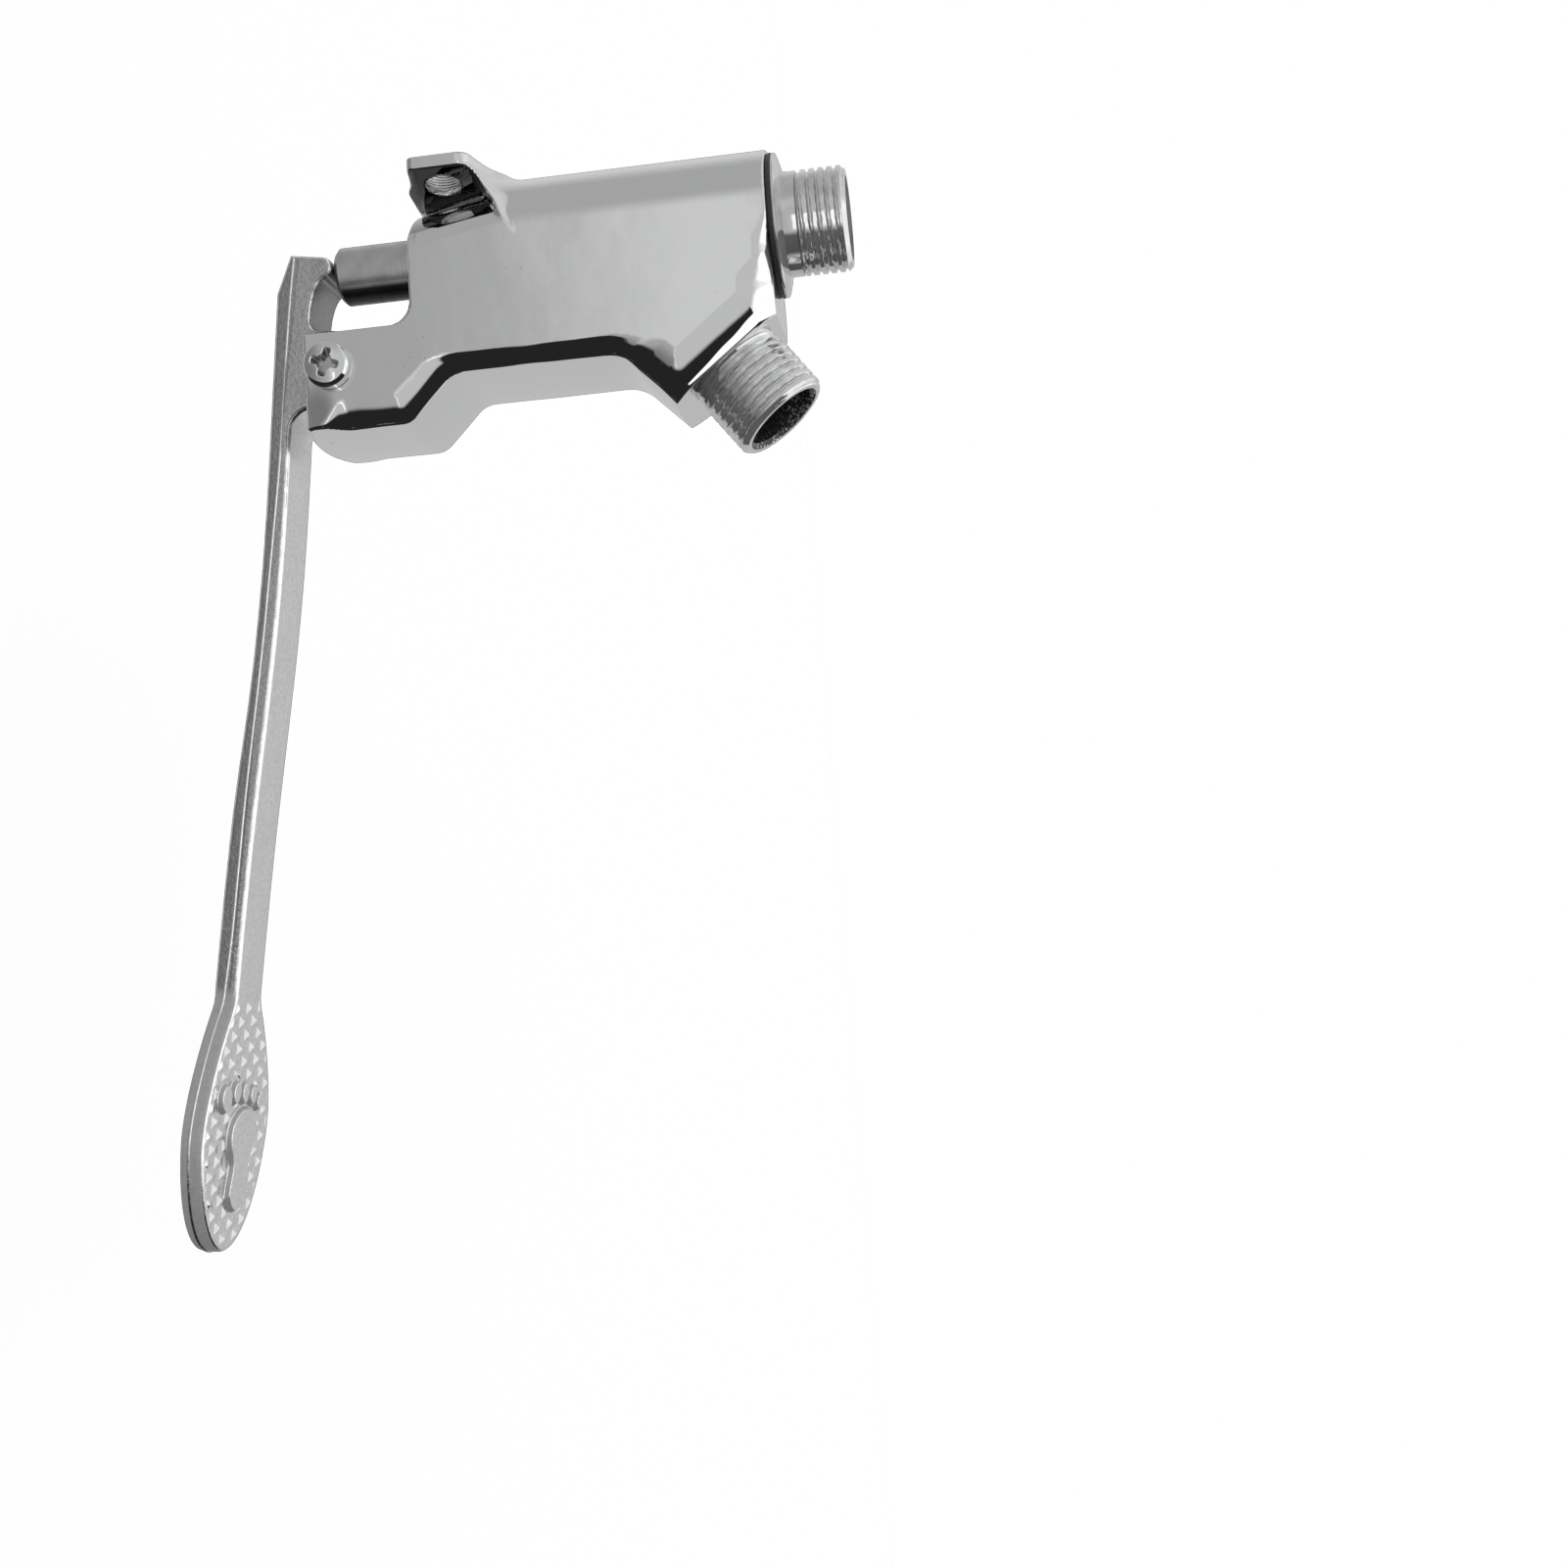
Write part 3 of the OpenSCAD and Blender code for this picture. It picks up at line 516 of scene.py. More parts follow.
def noise_group(name, scale, output, detail, rough=0.5, reshape=None):
    """Shader group of plain noise over the place on the piece, or over what reshape makes of it"""
    group, given, result = surface_group(name, [scale], output)
    place = given["Place"] if reshape is None else reshape(group, given["Place"])
    noise = add_node(group, "ShaderNodeTexNoise")
    noise.inputs["Detail"].default_value = detail
    noise.inputs["Roughness"].default_value = rough
    group.links.new(place, noise.inputs["Vector"])
    group.links.new(given[scale], noise.inputs["Scale"])
    group.links.new(noise.outputs["Fac"], result)
    return group


def drawn_out(tree, place):
    """Place drawn out along the valve axis, as the polishing wheel ran"""
    stretch = add_node(tree, "ShaderNodeVectorMath", operation="MULTIPLY")
    stretch.inputs[1].default_value = (1.0, 1.0, 0.06)
    tree.links.new(place, stretch.inputs[0])
    return stretch.outputs[0]


polish_waves = noise_group("polish_waves", "Waves per metre", "Height", 1.5, 0.35)
polish_marks = noise_group("polish_marks", "Marks per metre", "Marks", 3, reshape=drawn_out)

plating_pits, given, result = surface_group(
    "plating_pits", ["Cells per metre", "Pit Size", "Patchiness"], "Pits")
cells = add_node(plating_pits, "ShaderNodeTexVoronoi")
plating_pits.links.new(given["Place"], cells.inputs["Vector"])
plating_pits.links.new(given["Cells per metre"], cells.inputs["Scale"])
patches = add_node(plating_pits, "ShaderNodeTexNoise")
patches.inputs["Scale"].default_value = 70
plating_pits.links.new(given["Place"], patches.inputs["Vector"])
reach = add_math(plating_pits, "SUBTRACT", patches.outputs["Fac"], given["Patchiness"])
reach = add_math(plating_pits, "MULTIPLY", add_math(plating_pits, "MAXIMUM", reach, 0.0), 6.0)
reach = add_math(plating_pits, "MULTIPLY", reach, given["Pit Size"])
pit = add_math(plating_pits, "SUBTRACT", reach, cells.outputs["Distance"])
pit = add_math(plating_pits, "DIVIDE", pit, given["Pit Size"])
plating_pits.links.new(add_math(plating_pits, "MAXIMUM", pit, 0.0), result)


def new_finish(name, metal=1.0):
    """New material with its shader and the place on the piece"""
    finish = bpy.data.materials.new(name)
    finish.use_nodes = True
    tree = finish.node_tree
    shader = tree.nodes["Principled BSDF"]
    shader.inputs["Metallic"].default_value = metal
    return finish, tree, shader, add_node(tree, "ShaderNodeTexCoord").outputs["Object"]


def set_surface(tree, shader, colour, rough, normal=None):
    tree.links.new(colour, shader.inputs["Base Color"])
    tree.links.new(rough, shader.inputs["Roughness"])
    if normal is not None:
        tree.links.new(normal, shader.inputs["Normal"])


def use_group(tree, group, place, **values):
    made = add_node(tree, "ShaderNodeGroup", node_tree=group)
    tree.links.new(place, made.inputs["Place"])
    for label, value in values.items():
        made.inputs[label.replace("_", " ")].default_value = value
    return made.outputs[0]


def add_bump(tree, height, depth, below=None):
    """Bump of a depth in metres, on top of another bump where one is given"""
    made = add_node(tree, "ShaderNodeBump")
    made.inputs["Distance"].default_value = depth
    tree.links.new(height, made.inputs["Height"])
    if below is not None:
        tree.links.new(below, made.inputs["Normal"])
    return made.outputs["Normal"]


def tint(tree, share, first, second):
    """Colour between two colours"""
    made = add_node(tree, "ShaderNodeMix", data_type="RGBA")
    for number, value in ((0, share), (6, first), (7, second)):
        set_input(tree, made.inputs[number], value)
    return made.outputs[2]


def facing_of(tree):
    return add_node(tree, "ShaderNodeTexCoord").outputs["Normal"]


def chrome_finish(name, waves, wave_depth, pit_depth, rough_low, rough_high, darkening=None, metal=1.0):
    """Polished chrome that is a little wavy, with pits in the brass below and marks from the polishing"""
    finish, tree, shader, place = new_finish(name, metal)
    pits = use_group(tree, plating_pits, place, Cells_per_metre=620.0, Pit_Size=0.16, Patchiness=0.56)
    marks = use_group(tree, polish_marks, place, Marks_per_metre=420.0)
    normal = add_bump(tree, use_group(tree, polish_waves, place, Waves_per_metre=waves), wave_depth)
    ripples = use_group(tree, polish_waves, place, Waves_per_metre=waves * 4.5)
    normal = add_bump(tree, ripples, wave_depth / 9, normal)
    normal = add_bump(tree, add_math(tree, "MULTIPLY", pits, -1.0), pit_depth, normal)
    colour = tint(tree, pits, CHROME, PITTED)
    # Where given, a share greys the chrome: the threads take it as a film, the body and the screw head as
    # painted shade in hollows.
    if darkening is not None:
        colour = tint(tree, darkening(tree, place), colour, FILM_AND_SHADE_GREY)
    rough = add_range(tree, marks, 0.35, 0.75, rough_low, rough_high)
    rough = add_math(tree, "ADD", rough, add_math(tree, "MULTIPLY", pits, 0.2))
    set_surface(tree, shader, colour, rough, normal)
    return finish


def painted_lug_shade(tree, place):
    """Share of painted shade in the hollows below the lugs: the lugs' inner faces and the barrel facing them
    """
    x, y, z = add_split(tree, place)
    facing = add_split(tree, facing_of(tree))["Y"]
    aside = add_math(tree, "ABSOLUTE", x)
    lug_face = add_zone(tree, (facing, -0.5, -0.85), (y, -0.0085, -0.007))
    from_shoulder = add_math(tree, "SUBTRACT", add_math(tree, "MULTIPLY", y, 0.54),
                             add_math(tree, "MULTIPLY", aside, 0.123))
    from_shoulder = add_math(tree, "ADD", from_shoulder, z)
    body_face = add_zone(tree, (facing, 0.42, 0.56), (y, -0.016, -0.0145), (y, -0.0065, -0.0075))
    body_face = add_math(tree, "MULTIPLY", body_face, add_range(tree, from_shoulder, 0.0037, 0.0032, 0, 0.8))
    share = add_math(tree, "MAXIMUM", lug_face, body_face)
    return add_math(tree, "MULTIPLY", share, add_zone(tree, (aside, 0.003, 0.004)))


# The body's chrome is greyed as painted shade in the hollows below the lugs.
body_chrome = chrome_finish("body_chrome", 60.0, 0.00018, 0.0001, 0.03, 0.07, painted_lug_shade)
points, faces, normals = skin(casting, (-21, -39.5, -34.5), (21, 17, 67), SKIN_STEP)
points[:, 1] -= AXIS_DEPTH
cast_body = add_piece("cast_body", points, faces, normals)
fit(cast_body, body_chrome, "valve_body", "valve")

# A narrow bevel was ground along both edges of the boss, by hand, and is wider towards the inlet.
# It is part of the casting and is plated with it.
STRIP_ROWS = 60
STRIP_COLUMNS = 5
STRIP_PROUD = 0.03
STRIP_DEPTH = 0.3
STRIP_INSET = 0.3
STRIP_LENGTH = 23.9
STRIP_SHINE = 0.4
points = []
for share in np.linspace(0.03, 0.97, STRIP_ROWS):
    width = 0.25 + 1.7 * share + 0.12 * math.sin(19 * share) * share
    for along in BOSS_REACH - STRIP_INSET - width * np.linspace(1, 0, STRIP_COLUMNS):
        b, z = outlet_point(along, BOSS_EDGE - STRIP_LENGTH * share)
        points.append((BARREL_R - math.tan(BEVEL_TURN) * (along - BOSS_REACH + BOSS_BEVEL), b, z))
points = settle(casting, np.array(points), 6)
outward = unit(slope_of(casting, points, NORMAL_REACH))
shine = unit(outward + STRIP_SHINE * np.array([0, math.cos(OUTLET_ANGLE), math.sin(OUTLET_ANGLE)]))
strip = np.concatenate([points + STRIP_PROUD * outward, points - STRIP_DEPTH * outward])
strip_normals = np.concatenate([shine, -outward])
below = len(points)
strip_faces = []
for row in range(STRIP_ROWS - 1):
    here = STRIP_COLUMNS * row
    there = here + STRIP_COLUMNS
    last = STRIP_COLUMNS - 1
    for k in range(last):
        strip_faces.append((here + k, here + k + 1, there + k + 1, there + k))
        strip_faces.append((below + here + k, below + there + k, below + there + k + 1, below + here + k + 1))
    strip_faces.append((here, there, below + there, below + here))
    strip_faces.append((here + last, below + here + last, below + there + last, there + last))
for here, order in ((0, 1), (STRIP_COLUMNS * (STRIP_ROWS - 1), -1)):
    for k in range(STRIP_COLUMNS - 1):
        strip_faces.append((here + k, below + here + k, below + here + k + 1, here + k + 1)[::order])
for side, name in ((-1, "boss_bevel_left"), (1, "boss_bevel_right")):
    mirror = np.array([side, 1, 1])
    strip_piece = add_piece(name, strip * mirror - np.array([0, AXIS_DEPTH, 0]),
                            [face[::-side] for face in strip_faces], strip_normals * mirror)
    fit(strip_piece, body_chrome, "valve_body", "valve")

# The outlet's half-inch pipe thread is cut on the boss of the casting and plated with it.
# Water leaves through its open bore, whose wall is bare and dark, with bright speckles painted on as glints.
THREAD_R = 10.4775
ROOT_R = 9.85
PITCH = 1.814
THREAD_STEP = 0.08
OUTLET_END = 50.4
ROUND_STEPS = 224
TURNED_EDGE = 32
BORE_METAL = 0.85


def thread_ridge(turns):
    """Height of a thread, from 0 at its root to 1 at its flat crest"""
    phase = np.abs(turns % 1 - 0.5) * 2
    return np.clip((1 - phase - 0.14) / 0.42, 0, 1)


def turned_piece(name, rows, place, bore_rows=0, steps=ROUND_STEPS):
    """Ring of revolution through rows of heights and radii; the last rows may take a second finish"""
    angle = np.arange(steps) * 2 * math.pi / steps
    points = []
    for height, radius in rows:
        radius = np.broadcast_to(radius, angle.shape)
        ring = [radius * np.cos(angle), radius * np.sin(angle), np.full(steps, height)]
        points.append(np.stack(ring, axis=1))
    points = np.concatenate(points) @ np.array(place.to_3x3()).T + np.array(place.translation)
    faces = []
    for row in range(len(rows)):
        here = row * steps
        there = (row + 1) % len(rows) * steps
        for step in range(steps):
            after = (step + 1) % steps
            faces.append((here + step, here + after, there + after, there + step))
    piece = add_piece(name, points, faces, sharp_angle=TURNED_EDGE)
    inner = np.zeros(len(faces), np.int32)
    inner[len(faces) - bore_rows * steps:] = 1 if bore_rows else 0
    piece.data.polygons.foreach_set("material_index", inner)
    return piece


def thread_rows(start, end, run_in, run_out):
    """Rows of a right-hand pipe thread that fades in over run_in and is bevelled over run_out"""
    turn = np.arange(ROUND_STEPS) / ROUND_STEPS
    rows = []
    for height in np.arange(start, end + THREAD_STEP / 2, THREAD_STEP):
        ridge = thread_ridge((height - start) / PITCH - turn)
        ridge = ridge * soft_step(height, start - 0.01, start + run_in)
        radius = ROOT_R + (THREAD_R - ROOT_R) * ridge
        bevel = ROOT_R - 0.25 + (end - height) * 0.95
        rows.append((height, np.minimum(radius, bevel) if end - height < run_out else radius))
    return rows


def thread_film(tree, place):
    """Share of the grey film that the thread cutter's oil left"""
    return add_range(tree, use_group(tree, polish_waves, place, Waves_per_metre=340.0), 0.3, 0.7, 0.1, 0.3)


outlet_place = Matrix.Translation((0, -AXIS_DEPTH, OUTLET_Z)) @ Matrix.Rotation(OUTLET_ANGLE, 4, "X")
outlet_rows = [(32.6, PORT_R + 0.02), (35.2, PORT_R + 2.0), (35.8, THREAD_R - 0.1), (36.1, THREAD_R - 0.3)]
outlet_rows += [(36.4, ROOT_R + 0.1), (37.0, ROOT_R + 0.1), (37.4, THREAD_R - 0.15), (38.2, THREAD_R - 0.1)]
outlet_rows += thread_rows(38.4, OUTLET_END, 0.7, 1.0)
outlet_rows += [(OUTLET_END, PORT_R + 0.9), (OUTLET_END - 0.9, PORT_R)]
outlet_rows += [(height, PORT_R) for height in (46.0, 42.0, 38.0, 34.0)]
outlet_thread = turned_piece("outlet_thread", outlet_rows, outlet_place, bore_rows=6)
thread_chrome = chrome_finish("thread_chrome", 260.0, 0.000012, 0.00001, 0.03, 0.07, thread_film, 0.82)
fit(outlet_thread, thread_chrome, "valve_body", "valve")
bare_bore, tree, shader, place = new_finish("bare_bore", BORE_METAL)
# Painted glints: bright speckles on the dark bore wall.
glint_speckles = use_group(tree, plating_pits, place, Cells_per_metre=1500.0, Pit_Size=0.45, Patchiness=0.3)
grain = use_group(tree, polish_waves, place, Waves_per_metre=1400.0)
set_surface(tree, shader, tint(tree, glint_speckles, (0.06, 0.059, 0.057, 1), (0.85, 0.85, 0.84, 1)),
            add_range(tree, grain, 0.3, 0.7, 0.28, 0.5), add_bump(tree, grain, 0.00015))
outlet_thread.data.materials.append(bare_bore)

# Each wall lug has a hole for a 6 mm screw, and the drill left fine rings in its wall.
# The rings are bright, because the plating reaches a little way into the hole.
SMALL_STEPS = 64
RING_PITCH = 0.55
RING_DEPTH = 0.17
RING_TOP = -0.35
RING_END = -3.35
RING_INSIDE_R = LUG_HOLE_R - 0.02
RING_OUTSIDE_R = LUG_HOLE_R + 0.3
hole_wall, tree, shader, place = new_finish("hole_wall")
marks = use_group(tree, polish_marks, place, Marks_per_metre=900.0)
set_surface(tree, shader, tint(tree, marks, (0.97, 0.97, 0.96, 1), (0.8, 0.8, 0.79, 1)),
            add_range(tree, marks, 0.3, 0.7, 0.22, 0.4))
ring_rows = [(RING_TOP, RING_OUTSIDE_R), (RING_TOP, RING_INSIDE_R)]
for height in np.arange(RING_TOP - 0.05, RING_END + 0.05, -RING_PITCH / 6):
    ring = 0.5 + 0.5 * math.cos(height / RING_PITCH * 2 * math.pi)
    ring_rows.append((height, RING_INSIDE_R - RING_DEPTH * ring))
ring_rows += [(RING_END, RING_INSIDE_R), (RING_END, RING_OUTSIDE_R)]
for side, name in ((-1, "lug_thread_left"), (1, "lug_thread_right")):
    ring_place = Matrix.Translation((side * LUG_HOLE_X, 0, 0)) @ Matrix.Rotation(math.radians(-90), 4, "X")
    lug_thread = turned_piece(name, ring_rows, ring_place, steps=SMALL_STEPS)
    fit(lug_thread, hole_wall, "valve_body", "valve")

# The inlet nipple is turned from brass bar, with a thin flange that clamps the gasket on the casting.
# It is plated like the casting, and its half-inch thread takes the supply hose.
FLANGE_R = 14.3
FLANGE_Z = 66.5
NECK_Z = 68.7
INLET_END = 81.0
STEM_R = 10.9
SHOULDER_STEPS = 8
GROOVE_TOP_Z = 79.35
GROOVE_LOW_Z = 78.2
GROOVE_R = PORT_R + 0.7
axis_place = Matrix.Translation((0, -AXIS_DEPTH, 0))
nipple_rows = [(SEAT_TOP_Z, PORT_R + 0.3), (SEAT_TOP_Z, STEM_R - 0.3)]
nipple_rows += [(SEAT_TOP_Z + 0.4, STEM_R), (FLANGE_Z - 0.01, STEM_R), (FLANGE_Z, 11.2)]
nipple_rows += [(FLANGE_Z, FLANGE_R - 0.3), (FLANGE_Z + 0.1, FLANGE_R - 0.08)]
nipple_rows += [(FLANGE_Z + 0.25, FLANGE_R), (FLANGE_Z + 0.55, FLANGE_R)]
for step in range(1, SHOULDER_STEPS + 1):
    share = step / SHOULDER_STEPS
    nipple_rows.append((FLANGE_Z + 0.55 + 1.1 * share, FLANGE_R - (FLANGE_R - THREAD_R) * share ** 1.25))
nipple_rows += [(NECK_Z, THREAD_R - 0.05), (NECK_Z + 2.1, THREAD_R - 0.05)]
nipple_rows += thread_rows(NECK_Z + 2.2, INLET_END, 0.4, 1.1)
nipple_rows += [(INLET_END, PORT_R + 0.7), (INLET_END - 0.7, PORT_R)]
nipple_rows += [(GROOVE_TOP_Z, PORT_R), (GROOVE_TOP_Z, GROOVE_R)]
nipple_rows += [(GROOVE_LOW_Z, GROOVE_R), (GROOVE_LOW_Z, PORT_R), (66.0, PORT_R)]
nipple = turned_piece("nipple", nipple_rows, axis_place, bore_rows=7)
fit(nipple, thread_chrome, "inlet_nipple", "valve")
drawn_bore, tree, shader, place = new_finish("drawn_bore", BORE_METAL)
grain = use_group(tree, polish_waves, place, Waves_per_metre=900.0)
set_surface(tree, shader, tint(tree, grain, (0.07, 0.07, 0.068, 1), (0.2, 0.2, 0.195, 1)),
            add_range(tree, grain, 0.3, 0.7, 0.28, 0.5), add_bump(tree, grain, 0.00008))
nipple.data.materials.append(drawn_bore)

# A flat black rubber washer seals the nipple's flange on the casting.
# Clamping has pressed its rim out a little and rounded it.
GASKET_HOLE_R = 10.98
GASKET_RIM_R = FLANGE_R - 0.25
GASKET_STEPS = 8
rubber_grain = noise_group("rubber_grain", "Grains per metre", "Grain", 4)
black_rubber, tree, shader, place = new_finish("black_rubber_finish", 0.0)
grain = use_group(tree, rubber_grain, place, Grains_per_metre=2600.0)
set_surface(tree, shader, tint(tree, grain, (0.012, 0.012, 0.012, 1), (0.03, 0.03, 0.03, 1)),
            add_range(tree, grain, 0.2, 0.8, 0.42, 0.62), add_bump(tree, grain, 0.00002))
gasket_rows = [(TOP_Z, GASKET_HOLE_R), (TOP_Z, GASKET_RIM_R)]
for step in range(GASKET_STEPS + 1):
    swell = math.pi * (step / GASKET_STEPS - 0.5)
    height = (TOP_Z + FLANGE_Z) / 2 + 0.49 * math.sin(swell)
    gasket_rows.append((height, GASKET_RIM_R + 0.3 * math.cos(swell)))
gasket_rows += [(FLANGE_Z, GASKET_RIM_R), (FLANGE_Z, GASKET_HOLE_R)]
gasket = turned_piece("gasket", gasket_rows, axis_place)
fit(gasket, black_rubber, "inlet_gasket", "valve")


# Inside, the seals are moulded rings of black rubber, and the seat washer is punched from sheet.
# They lie in turned grooves and take the gasket's finish.
def finish_nodes(finish, *names):
    for name in names:
        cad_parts[name].data.materials.clear()
        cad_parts[name].data.materials.append(finish)


finish_nodes(black_rubber, "seat_oring", "bush_oring", "wiper_ring", "rod_oring_lower", "rod_oring_upper",
             "seat_washer")


# The seat, the rod's guide and the parts of the plug are turned from brass bar and left bare.
# Fine rings from the lathe run round them, and the metal is a little tarnished.
def round_axis(tree, place):
    """Height on the valve axis and distance from it, so that noise over them makes rings"""
    x, y, z = add_split(tree, place)
    offset = add_math(tree, "ADD", y, AXIS_DEPTH / 1000)
    spread = add_math(tree, "ADD", add_math(tree, "MULTIPLY", offset, offset),
                      add_math(tree, "MULTIPLY", x, x))
    ring_place = add_node(tree, "ShaderNodeCombineXYZ")
    tree.links.new(z, ring_place.inputs["X"])
    tree.links.new(add_math(tree, "SQRT", spread), ring_place.inputs["Y"])
    return ring_place.outputs[0]


turned_rings = noise_group("turned_rings", "Rings per metre", "Rings", 2, reshape=round_axis)
turned_brass, tree, shader, place = new_finish("turned_brass_finish")
rings = use_group(tree, turned_rings, place, Rings_per_metre=3800.0)
tarnish = use_group(tree, polish_waves, place, Waves_per_metre=240.0)
set_surface(tree, shader, tint(tree, tarnish, (0.80, 0.64, 0.33, 1), (0.66, 0.50, 0.25, 1)),
            add_range(tree, rings, 0.3, 0.7, 0.2, 0.36), add_bump(tree, rings, 0.00002))
finish_nodes(turned_brass, "seat_ring", "spring_retainer", "guide_bush", "washer_plate", "disc_holder",
             "spindle_nut", "pivot_bush")

# The rod is turned from steel bar, then dulled by handling, with small rust pits and a dark film.
# It slides in the guide, and its side that faces the room is coloured black as painted shade.
machined_steel, tree, shader, place = new_finish("machined_steel_finish")
rings = use_group(tree, turned_rings, place, Rings_per_metre=2600.0)
pits = use_group(tree, plating_pits, place, Cells_per_metre=900.0, Pit_Size=0.22, Patchiness=0.5)
film = use_group(tree, polish_waves, place, Waves_per_metre=320.0)
steel = tint(tree, film, (0.64, 0.64, 0.636, 1), (0.44, 0.44, 0.436, 1))
steel = tint(tree, pits, steel, (0.08, 0.075, 0.07, 1))
# Painted shade: the rod's side facing away from the wall is black.
shaded_side = add_zone(tree, (add_split(tree, facing_of(tree))["Y"], -0.62, -0.76))
normal = add_bump(tree, rings, 0.000025)
normal = add_bump(tree, add_math(tree, "MULTIPLY", pits, -1.0), 0.00008, normal)
set_surface(tree, shader, tint(tree, shaded_side, steel, (0.04, 0.04, 0.04, 1)),
            add_range(tree, rings, 0.3, 0.7, 0.3, 0.42), normal)
finish_nodes(machined_steel, "push_rod")

# The return spring is cold drawn steel wire, coiled, with its end turns closed flat.
# In the valve it is squeezed shorter between the plug and its retainer when the rod rises; here it is built
# at its rest length.
WIRE_R = 0.6
COIL_R = 5.8
COIL_LOW = 62.55
COIL_HIGH = 75.35
COIL_TURNS = 4.0
FLAT_TURNS = 0.55
WIRE_SIDES = 14
COIL_STEPS = 260
bright_steel, tree, shader, place = new_finish("bright_steel_finish")
marks = use_group(tree, polish_marks, place, Marks_per_metre=900.0)
set_surface(tree, shader, tint(tree, marks, (0.66, 0.66, 0.65, 1), (0.52, 0.52, 0.51, 1)),
            add_range(tree, marks, 0.3, 0.7, 0.18, 0.34), add_bump(tree, marks, 0.00001))
share = np.linspace(0, 1, COIL_STEPS)
lift = np.clip((share * COIL_TURNS - FLAT_TURNS) / (COIL_TURNS - 2 * FLAT_TURNS), 0, 1)
turn = share * COIL_TURNS * 2 * math.pi
rise = COIL_LOW + WIRE_R + (COIL_HIGH - COIL_LOW - 2 * WIRE_R) * lift
points = []
for k in range(WIRE_SIDES):
    wire = 2 * math.pi * k / WIRE_SIDES
    reach = COIL_R + WIRE_R * math.cos(wire)
    coil = [reach * np.cos(turn), reach * np.sin(turn), rise + WIRE_R * math.sin(wire)]
    points.append(np.stack(coil, axis=1))
points = np.stack(points, axis=1).reshape(-1, 3) + np.array([0, -AXIS_DEPTH, 0])
faces = []
for i in range(COIL_STEPS - 1):
    here = i * WIRE_SIDES
    for k in range(WIRE_SIDES):
        nearby = (k + 1) % WIRE_SIDES
        faces.append((here + k, here + WIRE_SIDES + k, here + WIRE_SIDES + nearby, here + nearby))
faces.append(tuple(range(WIRE_SIDES)))
faces.append(tuple(range(len(points) - 1, len(points) - 1 - WIRE_SIDES, -1)))
spring_wire = add_piece("spring_wire", points, faces, sharp_angle=60)
fit(spring_wire, bright_steel, "return_spring", "valve")
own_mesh(spring_wire)
finish_nodes(bright_steel, "inlet_strainer", "strainer_circlip", "bush_circlip", "pivot_washer")

# The pedal is a cast lever: a nose below the rod, a boss on the pivot, a long arm and an oval foot plate.
# Its faces are polished and plated; its edges keep the grain of the mould and the line where it closed.
# Lengths are in mm along the arm (u), across it (v) and square to it (w), from the pivot.
ARM_TILT = math.radians(8.6)
LEVER_HALF = 6.5
FOOT_FACE = -10.8
ARM_T = 4.4
ARM_LEN = 126.0
ARM_BOW = 0.8
BOSS_R = 8.2
BOSS_BACK = 2.0
BOSS_FILLET = 5.0
BUSH_HOLE_R = 3.58
WEB_TOP = -8.8
HEEL_W = -16.5
WEB_CORNER = 2.0
HEEL_BEVEL = 8.2
NOSE_R = 2.2
NOSE = (-23.54, -7.505)
PLATE_MIDDLE = 152.4
PLATE_HALF_LEN = 28.0
PLATE_HALF_W = 16.25
PLATE_T = 4.8
FLARE_START = 127.3
TREAD_START = 130.7
TREAD_HEIGHT = 0.42
SOLE_HEIGHT = 1.0
BUMP_ROW = 2.75
BUMP_COLUMN = 5.9
LEVER_STEP = 0.4
TREAD_STEP = 0.21


def arc_points(middle, radius, first, last, steps):
    angles = np.radians(np.linspace(first, last, steps + 1))
    return [(middle[0] + radius * math.cos(a), middle[1] + radius * math.sin(a)) for a in angles]


arm_start = BOSS_R - BOSS_BACK + BOSS_FILLET
bow = []
for share in np.linspace(0, 1, 25):
    lift = ARM_BOW * math.sin(math.pi * share) + 0.45 * math.sin(2 * math.pi * share)
    bow.append((arm_start + (ARM_LEN - arm_start) * share, FOOT_FACE + lift))
plate_end = PLATE_MIDDLE + PLATE_HALF_LEN + 4
nose_end = NOSE[0] - NOSE_R
web_end = NOSE[1] + 1.1
lever_outline = [(u, w - ARM_T - 0.6 * soft_step(u, 60, 95)) for u, w in bow]
lever_outline += [(ARM_LEN + 4, FOOT_FACE - PLATE_T), (plate_end, FOOT_FACE - PLATE_T)]
lever_outline += [(plate_end, FOOT_FACE)]
lever_outline += bow[::-1]
lever_outline += arc_points((arm_start, BOSS_FILLET + FOOT_FACE), BOSS_FILLET, 270, 180, 12)
lever_outline += arc_points((-BOSS_BACK, 0), BOSS_R, 0, 180, 40)
lever_outline += arc_points((-BOSS_BACK - BOSS_R - WEB_CORNER, WEB_CORNER + WEB_TOP), WEB_CORNER, 0, -90, 8)
for u, w in arc_points((0, 0), 1.0, 270, 190, 14):
    lever_outline.append((-14.2 + 7.0 * u, web_end + (web_end - WEB_TOP) * w))
lever_outline += arc_points(NOSE, NOSE_R, 30, 180, 16)
lever_outline += [(nose_end, HEEL_W + NOSE_R), (nose_end + HEEL_BEVEL, HEEL_W)]
lever_outline = np.array(lever_outline)


def lever_plan(u, v):
    """Distance from the lever's outline seen from above: a straight arm that flares into an oval"""
    side = np.abs(v)
    arm = np.maximum(side - LEVER_HALF, u - PLATE_MIDDLE)
    along = (u - PLATE_MIDDLE) / PLATE_HALF_LEN
    aside = v / PLATE_HALF_W
    size = np.maximum(np.hypot(along, aside), 1e-6)
    slope = np.hypot(along / PLATE_HALF_LEN, aside / PLATE_HALF_W)
    oval = np.maximum(size * (size - 1) / np.maximum(slope, 1e-6), -8)
    flare = (side - LEVER_HALF - 0.52 * (u - FLARE_START)) * 0.887
    return blended_join(arm, rounded_meet(oval, flare, 6.0), 1.6)


